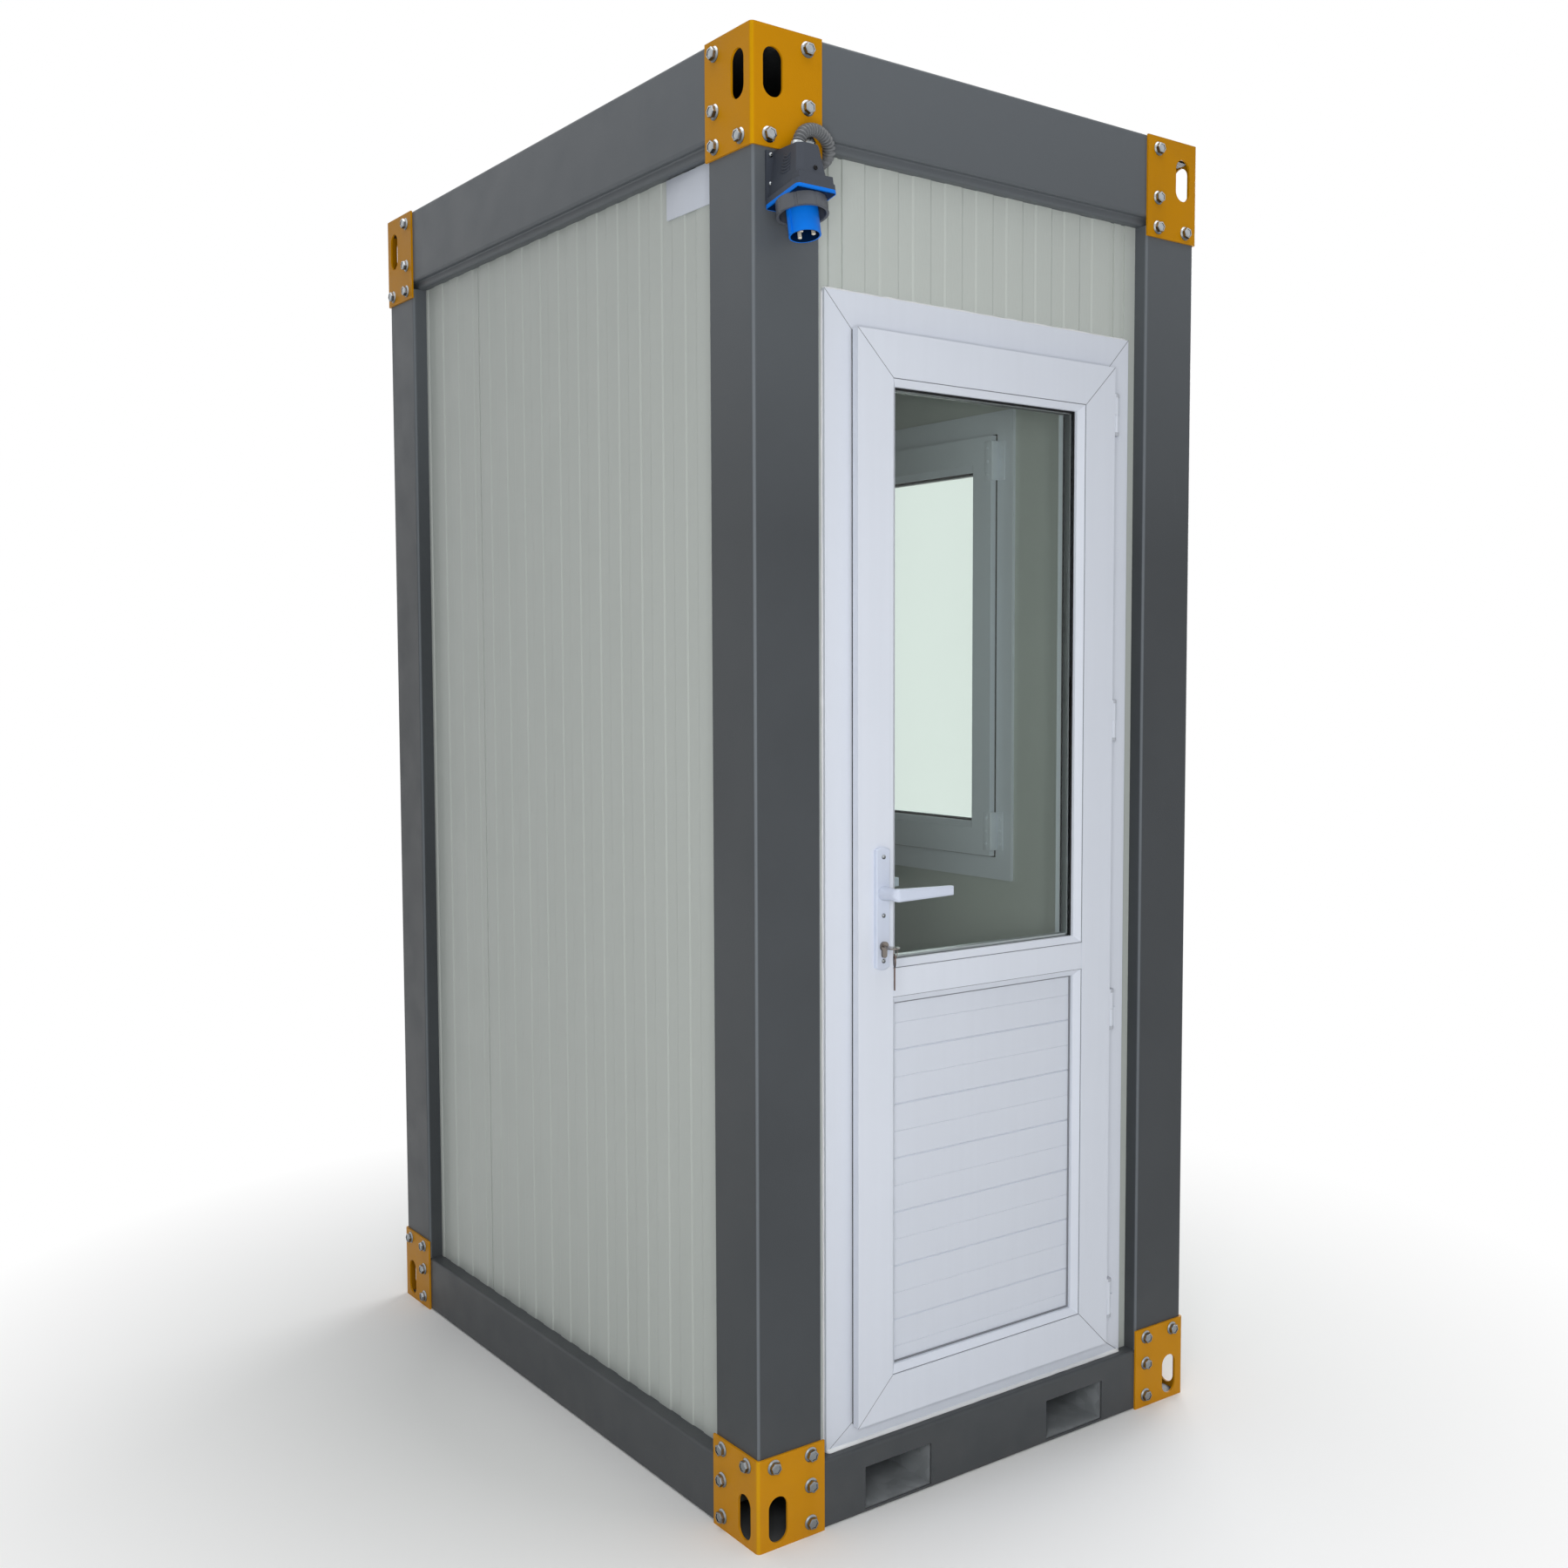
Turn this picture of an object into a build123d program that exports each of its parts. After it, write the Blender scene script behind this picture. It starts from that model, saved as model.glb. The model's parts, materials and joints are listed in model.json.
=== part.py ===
from build123d import *
from math import atan2, cos, degrees, hypot, radians, sin
import os

# Guard cabin with a folded steel frame, bolted corner plates, sandwich panel walls and a half
# glazed door. Millimetres, +Z up. The door is on the -Y side and the window on the +X side. The
# pieces are made about the middle of the base, and moved at the end so that the origin is on the
# ground at the middle of the whole outline, with the inlet that stands out in front.

# Whole cabin, over the corner plates
cabin_width = 1045
cabin_depth = 1505
cabin_height = 2500

# Folded steel frame
frame_sheet = 3
frame_bend = 3
post_leg = 132
top_beam_face = 155
top_beam_step = 12
top_beam_drop = 15
top_beam_flange = 60
base_beam_height = 120
base_beam_flange = 60
bearing_width = 10

# Corner plates
plate_sheet = 4
plate_bend = 3
plate_leg = 138
top_plate_height = 190
base_plate_height = 160
slot_width = 38
slot_length = 79
slot_from_bend = 41
top_slot_depth = 72
base_slot_height = 50
corner_clearance = 1

# Fork pockets through the base
pocket_width = 150
pocket_height = 76
pocket_wall = 4
pocket_spacing = 436

# Walls, floor and roof
wall_thickness = 50
wall_recess = 30
rib_depth = 1.6
rib_flank = 4
side_rib_pitch = 78.5
front_rib_pitch = 72.6
rib_share = 0.5
side_panel_width = 1064
joint_width = 4
joint_depth = 4
front_panel_width = 76.5
over_door_height = 218
trim_reach = 44
trim_groove_width = 11
trim_rib_width = 18
trim_depth = 3
floor_thickness = 20
ceiling_thickness = 50
roof_thickness = 30
roof_edge_gap = 5

# Door frame
door_frame_side = 55
door_frame_head = 60
door_frame_sill = 35
door_frame_proud = 8
stop_thickness = 12
stop_overlap = 7

# Door sash
sash_proud = 20
sash_gap = 5
sash_overlap = 10
sash_clearance = 8
sash_face = 76
bead_width = 13
bead_depth = 12
bead_step = 2
bead_shoulder = 2
weld_width = 1.4
weld_depth = 0.7
rail_height = 50
rail_level = 934
glass_rebate = 12
glass_thickness = 24
glass_depth = 20
board_thickness = 24
board_pitch = 97.5
first_groove_drop = 39
board_groove_width = 4
board_groove_depth = 2.5
fine_groove_width = 2
fine_groove_depth = 1

# Door hinges
hinge_radius = 8
hinge_height = 78
hinge_side_gap = 1.5
hinge_face_gap = 1
hinge_split_gap = 0.4
hinge_pin_radius = 3.5
hinge_pin_clearance = 0.1
hinge_pin_rise = 20
hinge_leaf_width = 24
hinge_leaf_sheet = 3
hinge_leaf_inset = 1
hinge_shares = (0.046, 0.35, 0.647, 0.954)

# Door handle
handle_from_edge = 49
handle_height = 1094
handle_plate_width = 30
handle_plate_length = 214
handle_plate_drop = 27
handle_plate_thickness = 8
handle_plate_arch = 5
handle_plate_bevel = 2
boss_radius = 12
neck_radius = 10
lever_standoff = 34
lever_length = 122
lever_width = 22
lever_tip_width = 16
lever_thickness = 12
lever_elbow = 14
lever_bevel = 3
spindle_side = 8
spindle_clearance = 2
lever_plate_gap = 0.5
cylinder_drop = 92
cylinder_radius = 8.5
cylinder_tail = 15
cylinder_tail_width = 10
cylinder_proud = 4

# Window in the right wall
window_width = 650
window_sill = 1020
window_head_gap = 290
window_proud = 8
window_frame_margin = 52
window_sash_overlap = 8
window_sash_gap = 4
window_sash_face = 72
window_sash_proud = 16
window_sash_lap = 12

# Power inlet on the front left post
inlet_from_side = 65
inlet_top_gap = 6
inlet_tilt = 11
housing_height = 88
housing_top_width = 44
housing_top_depth = 74
rim_width = 78
rim_depth = 94
rim_thickness = 9
rim_corner = 8
ear_width = 74
ear_thickness = 4
gasket_thickness = 5
sleeve_radius = 26
sleeve_wall = 2.5
sleeve_length = 62
sleeve_cavity = 40
contact_radius = 3
contact_length = 37
contact_circle_radius = 14
contact_count = 3
collar_radius = 38
collar_wall = 4
collar_length = 22
collar_sides = 24
hood_bevel = 9
skirt_width = 66
skirt_height = 12
skirt_depth = 20
skirt_inset = 1
key_width = 6
key_height = 3
conduit_radius = 10.5
conduit_sides = 12
conduit_turns = 6
conduit_rise = 10
conduit_arch = 26
conduit_drop = 14
conduit_back = 20

overrun = 10

# Places that several pieces share
face_x = cabin_width / 2 - plate_sheet
face_y = cabin_depth / 2 - plate_sheet
wall_x = face_x - wall_recess
wall_y = face_y - wall_recess
room_x = wall_x - wall_thickness
room_y = wall_y - wall_thickness
wall_z = (base_beam_height, cabin_height - top_beam_face - top_beam_drop)
panel_flange = wall_recess + wall_thickness + bearing_width
corner_gap = plate_sheet + panel_flange + corner_clearance
pocket_floor = frame_sheet + pocket_wall
on_base = (Align.CENTER, Align.CENTER, Align.MIN)
corners = ("front_left", "front_right", "back_right", "back_left")
sides = ("front", "right", "back", "left")


# Shaping helpers
def block(x, y, z):
    """Box between the low and high limit given for each axis."""
    spans = (x, y, z)
    middle = [(low + high) / 2 for low, high in spans]
    lengths = [high - low for low, high in spans]
    return Pos(*middle) * Box(*lengths)


def grown(span, by):
    """Span widened by the same length at both ends."""
    return span[0] - by, span[1] + by


def around_zero(length):
    """Span of a length centred on zero."""
    return -length / 2, length / 2


def swapped(turns, first, second):
    """Two sizes in the order that a piece meets them after some quarter turns."""
    return (first, second) if turns % 2 == 0 else (second, first)


def folded_face(points, sheet, bend):
    """Section of a sheet folded square at each point, lying left of the line through the points."""
    outer = [Vector(*point) for point in points]
    steps = [(end - start).normalized() for start, end in zip(outer, outer[1:])]
    lefts = [step.rotate(Axis.Z, 90) for step in steps]
    shifts = [lefts[0]] + [first + second for first, second in zip(lefts, lefts[1:])] + [lefts[-1]]
    inner = [point + shift * sheet for point, shift in zip(outer, shifts)]
    left_turns = [first.cross(second).Z > 0 for first, second in zip(steps, steps[1:])]
    outer_radii = [bend + sheet if left else bend for left in left_turns]
    inner_radii = [bend if left else bend + sheet for left in left_turns]
    skins = FilletPolyline(*outer, radius=outer_radii).edges()
    skins += FilletPolyline(*inner, radius=inner_radii).edges()
    return make_face(skins + [Line(outer[0], inner[0]).edge(), Line(outer[-1], inner[-1]).edge()])


def beam(points, turns):
    """Folded beam between the open corners of one side, from a section of (inset, height) points."""
    run = swapped(turns, cabin_width, cabin_depth)[0] - 2 * corner_gap
    reach = swapped(turns, face_y, face_x)[0]
    section = Plane.YZ * folded_face(points, frame_sheet, frame_bend)
    return Rot(0, 0, 90 * turns) * Pos(-run / 2, -reach, 0) * extrude(section, run)


def at_corner(turns, x, y, z):
    """Place of a corner that is a number of quarter turns from the front left one."""
    first, second = swapped(turns, x, y)
    return Rot(0, 0, 90 * turns) * Pos(-first, -second, z)


# Folded frame
def post(turns):
    """Corner post with two faces and a return on each, back to the wall."""
    near, far = (wall_recess, post_leg), (post_leg, wall_recess)
    section = folded_face([near, (0, post_leg), (0, 0), (post_leg, 0), far], frame_sheet, frame_bend)
    return at_corner(turns, face_x, face_y, wall_z[0]) * extrude(section, wall_z[1] - wall_z[0])


def top_beam(turns):
    """Roof beam with a stepped lower edge and a flange over the wall."""
    step = cabin_height - top_beam_face
    points = [(top_beam_flange, cabin_height), (0, cabin_height), (0, step), (top_beam_step, step)]
    return beam(points + [(top_beam_step, wall_z[1]), (panel_flange, wall_z[1])], turns)


def fork_span(hand):
    """Width span of one fork pocket, hand -1 on the left and 1 on the right."""
    return grown((hand * pocket_spacing / 2, hand * pocket_spacing / 2), pocket_width / 2)


def base_beam(turns):
    """Ground beam with a ledge that carries the wall, cut for the forks at front and back."""
    points = [(panel_flange, base_beam_height), (0, base_beam_height), (0, 0), (base_beam_flange, 0)]
    shape = beam(points, turns)
    if turns % 2 == 0:
        for hand in (-1, 1):
            through = grown((-face_y, face_y), overrun)
            shape -= block(fork_span(hand), through, (pocket_floor, pocket_floor + pocket_height))
    return shape


def fork_pockets():
    """Two tubes between the front and back beams, standing on the lower flanges."""
    reach = face_y - frame_sheet - frame_bend
    length = (-reach, reach)
    height = (pocket_floor, pocket_floor + pocket_height)
    tubes = []
    for hand in (-1, 1):
        outside = block(grown(fork_span(hand), pocket_wall), length, grown(height, pocket_wall))
        tubes.append(outside - block(fork_span(hand), grown(length, overrun), height))
    return Part() + tubes


def corner_plate(turns, height, slot_level, bottom):
    """Bent plate that joins a post to two beams, with a lifting slot in each leg."""
    shape = extrude(folded_face([(0, plate_leg), (0, 0), (plate_leg, 0)], plate_sheet, plate_bend), height)
    slot = extrude(SlotOverall(slot_length, slot_width), plate_sheet + overrun, both=True)
    shape -= Pos(slot_from_bend, 0, slot_level) * Rot(90, 0, 90) * slot
    shape -= Pos(0, slot_from_bend, slot_level) * Rot(0, 90, 0) * slot
    return at_corner(turns, cabin_width / 2, cabin_depth / 2, bottom) * shape


# Walls, floor and roof
door_frame_x = grown((-room_x, room_x), -front_panel_width)
door_frame_z = (base_beam_height, wall_z[1] - over_door_height)
over_door_x = grown(door_frame_x, -trim_reach)
window_y = around_zero(window_width)
window_z = (window_sill, wall_z[1] - window_head_gap)


def standing(outline, height):
    """Solid that stands on an outline seen from above, between two heights."""
    face = make_face(Polyline(*outline, close=True))
    return Pos(0, 0, height[0]) * extrude(face, height[1] - height[0], dir=(0, 0, 1))


def panel(run, pitch, height):
    """Sandwich panel along X, with shallow ribs on the face towards -Y, spaced about its middle."""
    count = int((run[1] - run[0]) // pitch)
    first = (run[0] + run[1] - (count - 1) * pitch) / 2
    outline = [(run[0], 0)]
    for number in range(count):
        low, high = grown((first + number * pitch, first + number * pitch), pitch * rib_share / 2)
        outline += [(low, 0), (low + rib_flank, rib_depth), (high - rib_flank, rib_depth), (high, 0)]
    outline += [(run[1], 0), (run[1], wall_thickness), (run[0], wall_thickness)]
    return standing(outline, height)


def left_wall():
    """Long wall of two panels with an open joint between them."""
    shape = Rot(0, 0, -90) * Pos(0, -wall_x, 0) * panel((-wall_y, wall_y), side_rib_pitch, wall_z)
    joint = side_panel_width - wall_y
    across = grown((joint, joint), joint_width / 2)
    return shape - block((-wall_x - overrun, -wall_x + joint_depth), across, grown(wall_z, overrun))


def front_right_wall():
    """Narrow panel with grooved edge trim, which the door frame is let into."""
    groove = over_door_x[1] + trim_groove_width
    second = groove + trim_rib_width
    rib = second + trim_groove_width
    outline = [(over_door_x[1], trim_depth), (groove, trim_depth), (groove, 0), (second, 0)]
    outline += [(second, trim_depth), (rib, trim_depth), (rib, 0), (room_x, 0)]
    outline += [(room_x, wall_thickness), (over_door_x[1], wall_thickness)]
    frame_x = (over_door_x[1] - overrun, door_frame_x[1])
    frame_z = (door_frame_z[0] - overrun, door_frame_z[1])
    shape = Pos(0, -wall_y, 0) * standing(outline, wall_z)
    return shape - block(frame_x, grown((-wall_y, -room_y), overrun), frame_z)


def walls():
    """Sandwich panel walls, standing on the base ledges and reaching up to the roof beams."""
    left, front_right = left_wall(), front_right_wall()
    window = block(grown((room_x, wall_x), overrun), window_y, window_z)
    back = panel((-room_x, room_x), front_rib_pitch, wall_z)
    over_door = panel(over_door_x, front_rib_pitch, (door_frame_z[1], wall_z[1]))
    return {
        "wall_left": left,
        "wall_right": mirror(left, about=Plane.YZ) - window,
        "wall_back": Rot(0, 0, 180) * Pos(0, -wall_y, 0) * back,
        "wall_front_left": mirror(front_right, about=Plane.YZ),
        "wall_front_right": front_right,
        "wall_over_door": Pos(0, -wall_y, 0) * over_door,
    }


def floor():
    """Floor board that bears on the ledges inside the walls."""
    height = (base_beam_height, base_beam_height + floor_thickness)
    return block((-room_x, room_x), (-room_y, room_y), height)


def ceiling():
    """Ceiling panel that lies on the lower flanges of the roof beams."""
    bottom = wall_z[1] + frame_sheet
    return block((-room_x, room_x), (-room_y, room_y), (bottom, bottom + ceiling_thickness))


def roof():
    """Roof panel under the upper flanges, which closes the open frame corners from above."""
    top = cabin_height - frame_sheet
    reach_x = face_x - frame_sheet - roof_edge_gap
    reach_y = face_y - frame_sheet - roof_edge_gap
    return block((-reach_x, reach_x), (-reach_y, reach_y), (top - roof_thickness, top))


# Door frame and sash
frame_front = -wall_y - door_frame_proud
frame_back = -room_y
stop_front = frame_back - stop_thickness
sash_front = frame_front - sash_proud
sash_flange_back = frame_front - sash_gap
sash_back = stop_front - sash_gap
sash_x = grown(door_frame_x, -door_frame_side)
sash_z = (door_frame_z[0] + door_frame_sill, door_frame_z[1] - door_frame_head)
port_x, port_z = grown(sash_x, -sash_overlap), grown(sash_z, -sash_overlap)
body_x, body_z = grown(port_x, -sash_clearance), grown(port_z, -sash_clearance)
light_x = grown(sash_x, -sash_face - bead_width)
glass_z = (rail_level + rail_height / 2 + bead_width, sash_z[1] - sash_face - bead_width)
board_z = (sash_z[0] + sash_face + bead_width, rail_level - rail_height / 2 - bead_width)
glass_y = (sash_front + glass_depth, sash_front + glass_depth + glass_thickness)
board_y = (sash_front + glass_depth, sash_front + glass_depth + board_thickness)
handle_x = sash_x[0] + handle_from_edge
spindle_bore = (spindle_side / 2 + spindle_clearance) * 2**0.5


def weld(start, end, front):
    """Shallow cut along a welded mitre, between two (x, z) points of a front face."""
    run, rise = end[0] - start[0], end[1] - start[1]
    cut = Box(hypot(run, rise) + 2 * overrun, 2 * weld_depth, weld_width)
    middle = Pos((start[0] + end[0]) / 2, front, (start[1] + end[1]) / 2)
    return middle * Rot(0, -degrees(atan2(rise, run)), 0) * cut


def corner_welds(outer_x, outer_z, inner_x, inner_z, front):
    """Mitre cuts at the four corners of a welded frame."""
    ends = [(0, 0), (0, 1), (1, 0), (1, 1)]
    return [weld((outer_x[i], outer_z[j]), (inner_x[i], inner_z[j]), front) for i, j in ends]


def door_frame():
    """Frame round the doorway, with a stop behind the sash."""
    shape = block(door_frame_x, (frame_front, frame_back), door_frame_z)
    shape -= block(port_x, (frame_front - overrun, stop_front), port_z)
    shape -= corner_welds(door_frame_x, door_frame_z, port_x, port_z, frame_front)
    through = grown((frame_front, frame_back), overrun)
    return shape - block(grown(body_x, -stop_overlap), through, grown(body_z, -stop_overlap))


def bead_cut(plane, width, height, slope, depth):
    """Sloping cut round a field, from its widened outline on a plane down to the field itself."""
    inner = Rectangle(width, height)
    outer = offset(inner, slope, kind=Kind.INTERSECTION)
    return loft([plane * outer, plane.offset(depth) * inner])


def light_cut(x, z, depth):
    """Cut for one field: a step round it, the sloping bead inside that, and the groove for the pane."""
    through = block(x, grown((sash_front, sash_back), overrun), z)
    groove = block(grown(x, glass_rebate), depth, grown(z, glass_rebate))
    bead_front = sash_front + bead_step
    step = block(grown(x, bead_width), (sash_front - overrun, bead_front), grown(z, bead_width))
    middle = ((x[0] + x[1]) / 2, bead_front, (z[0] + z[1]) / 2)
    face = Plane(middle, x_dir=(1, 0, 0), z_dir=(0, 1, 0))
    bead = bead_cut(face, x[1] - x[0], z[1] - z[0], bead_width - bead_shoulder, bead_depth - bead_step)
    return through + groove + step + bead


def door_sash():
    """Welded door sash with a flange over the frame, a glazed field and a boarded field."""
    shape = block(sash_x, (sash_front, sash_flange_back), sash_z)
    shape += block(body_x, (sash_flange_back, sash_back), body_z)
    shape -= light_cut(light_x, glass_z, glass_y)
    shape -= light_cut(light_x, board_z, board_y)
    field_x, field_z = grown(sash_x, -sash_face), grown(sash_z, -sash_face)
    shape -= corner_welds(sash_x, sash_z, field_x, field_z, sash_front)
    rail_z = (rail_level - rail_height / 2, rail_level + rail_height / 2)
    rail_ends = grown(field_x, -weld_width)
    shape -= [weld((end, rail_z[0]), (end, rail_z[1]), sash_front) for end in rail_ends]
    depth = grown((sash_front, sash_back), overrun)
    shape -= y_cylinder(handle_x, depth, handle_height, spindle_bore)
    return shape - lock_outline(depth)


def door_glass():
    """Pane held in the groove of the upper field."""
    return block(grown(light_x, glass_rebate), glass_y, grown(glass_z, glass_rebate))


def door_boards():
    """Boards in the lower field, with a deep groove between them and a fine one on each."""
    front, back = board_y
    low, high = grown(board_z, glass_rebate)
    first = board_z[1] - first_groove_drop
    count = int((first - board_z[0]) // (board_pitch / 2)) + 1
    outline = [(front, high)]
    for number in range(count):
        level = first - number * board_pitch / 2
        fine = number % 2 == 0
        width = fine_groove_width if fine else board_groove_width
        depth = fine_groove_depth if fine else board_groove_depth
        outline += [(front, level + width / 2), (front + depth, level), (front, level - width / 2)]
    outline += [(front, low), (back, low), (back, high)]
    section = Plane.YZ * make_face(Polyline(*outline, close=True))
    start, end = grown(light_x, glass_rebate)
    return Pos(start, 0, 0) * extrude(section, end - start, dir=(1, 0, 0))


# Door furniture
def y_cylinder(x, y, z, radius):
    """Cylinder along Y between two depths."""
    return Pos(x, y[0], z) * Rot(-90, 0, 0) * Cylinder(radius, y[1] - y[0], align=on_base)


def lock_outline(y):
    """Keyhole shaped body of the lock, round above and with a narrow tail below."""
    level = handle_height - cylinder_drop
    tail = (handle_x - cylinder_tail_width / 2, handle_x + cylinder_tail_width / 2)
    shape = y_cylinder(handle_x, y, level, cylinder_radius) + block(tail, y, (level - cylinder_tail, level))
    return shape + y_cylinder(handle_x, y, level - cylinder_tail, cylinder_tail_width / 2)


def handle_plates():
    """Long plates with arched ends and bevelled edges on both faces of the door."""
    plates = []
    half = handle_plate_width / 2
    shoulder = handle_plate_length / 2 - handle_plate_arch
    left = Line((-half, -shoulder), (-half, shoulder))
    top = ThreePointArc((-half, shoulder), (0, handle_plate_length / 2), (half, shoulder))
    right = Line((half, shoulder), (half, -shoulder))
    bottom = ThreePointArc((half, -shoulder), (0, -handle_plate_length / 2), (-half, -shoulder))
    outline = Plane.XZ * make_face(left.edges() + top.edges() + right.edges() + bottom.edges())
    level = handle_height - handle_plate_drop
    for front, outside in ((sash_front - handle_plate_thickness, 0), (sash_back, -1)):
        depth = (front, front + handle_plate_thickness)
        plate = extrude(Pos(handle_x, front, level) * outline, handle_plate_thickness, dir=(0, 1, 0))
        plate = chamfer(plate.faces().sort_by(Axis.Y)[outside].edges(), handle_plate_bevel)
        plate -= y_cylinder(handle_x, grown(depth, overrun), handle_height, spindle_bore)
        plates.append(plate - lock_outline(grown(depth, overrun)))
    return Part() + plates


def lock_cylinder():
    """Lock cylinder through the door, a little proud of both plates."""
    proud = handle_plate_thickness + cylinder_proud
    return lock_outline(grown((sash_front, sash_back), proud))


def lever_arm(base, way):
    """Lever on one face: a round neck, an elbow and a flat arm that tapers towards the hinges."""
    half, tip_half = lever_width / 2, lever_tip_width / 2
    inner, outer = lever_standoff, lever_standoff + lever_thickness
    bend_x, bend_y = lever_elbow - half, outer - lever_elbow
    bend_middle = (bend_x - lever_elbow * cos(radians(45)), bend_y + lever_elbow * sin(radians(45)))
    heel = Polyline((half, inner), (half, bend_y), (-half, bend_y))
    elbow = ThreePointArc((-half, bend_y), bend_middle, (bend_x, outer))
    arm_line = Polyline((bend_x, outer), (lever_length, outer), (lever_length, inner), (half, inner))
    plan = extrude(make_face(heel.edges() + elbow.edges() + arm_line.edges()), half, both=True)
    sides_line = Polyline((0, half), (lever_length, tip_half), (lever_length, -tip_half), (0, -half))
    round_end = ThreePointArc((0, -half), (-half, 0), (0, half))
    taper = extrude(Plane.XZ * make_face(sides_line.edges() + round_end.edges()), outer, dir=(0, 1, 0))
    arm = plan & taper
    arm = chamfer(arm.faces().sort_by(Axis.Y)[-1].edges(), lever_bevel)
    neck = Cone(boss_radius, neck_radius, inner - lever_plate_gap, align=on_base)
    lever = arm + Pos(0, lever_plate_gap, 0) * Rot(-90, 0, 0) * neck
    if way < 0:
        lever = mirror(lever, about=Plane.XZ)
    return Pos(handle_x, base, handle_height) * lever


def door_lever():
    """Levers on both faces, on one square spindle through the door."""
    faces = (sash_front - handle_plate_thickness, sash_back + handle_plate_thickness)
    spindle = around_zero(spindle_side)
    depth = grown(faces, lever_standoff / 2)
    shape = Pos(handle_x, 0, handle_height) * block(spindle, depth, spindle)
    return shape + lever_arm(faces[0], -1) + lever_arm(faces[1], 1)


# Door hinges
hinge_x = sash_x[1] + hinge_side_gap + hinge_radius
hinge_y = frame_front - hinge_face_gap - hinge_radius
hinge_levels = [sash_z[0] + share * (sash_z[1] - sash_z[0]) for share in hinge_shares]


def z_cylinder(radius, z):
    """Cylinder on the hinge axis between two heights."""
    return Pos(hinge_x, hinge_y, z[0]) * Cylinder(radius, z[1] - z[0], align=on_base)


def frame_hinge(level):
    """Lower knuckle with its pin, on a leaf screwed to the door frame."""
    low = (level - hinge_height / 2, level - hinge_split_gap / 2)
    leaf = block((hinge_x, hinge_x + hinge_leaf_width), (frame_front - hinge_leaf_sheet, frame_front), low)
    web = block((hinge_x - hinge_leaf_inset, hinge_x + hinge_radius), (hinge_y, frame_front), low)
    pin = z_cylinder(hinge_pin_radius, (level - hinge_height / 2, level + hinge_pin_rise))
    return z_cylinder(hinge_radius, low) + leaf + web + pin


def door_hinge(level):
    """Upper knuckle on a block fixed to the edge of the sash."""
    high = (level + hinge_split_gap / 2, level + hinge_height / 2)
    web = block((sash_x[1], hinge_x), (hinge_y - hinge_radius, hinge_y), high)
    depth = (high[0], level + hinge_pin_rise + hinge_split_gap)
    bore = z_cylinder(hinge_pin_radius + hinge_pin_clearance, depth)
    return z_cylinder(hinge_radius, high) + web - bore


# Window
window_front = wall_x + window_proud
window_back = room_x - window_proud
window_port_y = grown(window_y, -window_frame_margin - window_sash_overlap)
window_port_z = grown(window_z, -window_frame_margin - window_sash_overlap)
window_sash_y, window_sash_z = grown(window_y, -window_frame_margin), grown(window_z, -window_frame_margin)
window_light_y = grown(window_sash_y, -window_sash_face)
window_light_z = grown(window_sash_z, -window_sash_face)
window_sash_back = window_back - window_sash_proud
window_sash_front = window_front - window_sash_lap
window_glass_middle = (window_sash_back + window_sash_front) / 2
window_glass_x = grown((window_glass_middle, window_glass_middle), glass_thickness / 2)


def window_frame():
    """Fixed frame in the wall opening."""
    through = grown((window_back, window_front), overrun)
    shape = block((window_back, window_front), window_y, window_z)
    return shape - block(through, window_port_y, window_port_z)


def window_sash():
    """Sash that closes against the inside of the frame, with a bead round the pane on both faces."""
    shape = block((window_sash_back, window_back), window_sash_y, window_sash_z)
    inner_y, inner_z = grown(window_port_y, -window_sash_gap), grown(window_port_z, -window_sash_gap)
    shape += block((window_back, window_sash_front), inner_y, inner_z)
    shape -= block(grown((window_sash_back, window_sash_front), overrun), window_light_y, window_light_z)
    (left, right), (low, high) = window_light_y, window_light_z
    for face, way in ((window_sash_back, 1), (window_sash_front, -1)):
        plane = Plane((face, (left + right) / 2, (low + high) / 2), x_dir=(0, 1, 0), z_dir=(way, 0, 0))
        shape -= bead_cut(plane, right - left, high - low, bead_width, bead_depth)
    return shape - window_glass()


def window_glass():
    """Pane held in the groove of the window sash."""
    return block(window_glass_x, grown(window_light_y, glass_rebate), grown(window_light_z, glass_rebate))


# Power inlet
inlet_x = -cabin_width / 2 + inlet_from_side
inlet_top = cabin_height - top_plate_height - inlet_top_gap
rim_drop = rim_depth * sin(radians(inlet_tilt)) / 2
rim_y = -face_y - rim_depth * cos(radians(inlet_tilt)) / 2
rim_z = inlet_top - housing_height + rim_drop
down = (0, -sin(radians(inlet_tilt)), -cos(radians(inlet_tilt)))
rim_plane = Plane((inlet_x, rim_y, rim_z), x_dir=(1, 0, 0), z_dir=down)
rim_outline = RectangleRounded(rim_width, rim_depth, rim_corner)


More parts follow.
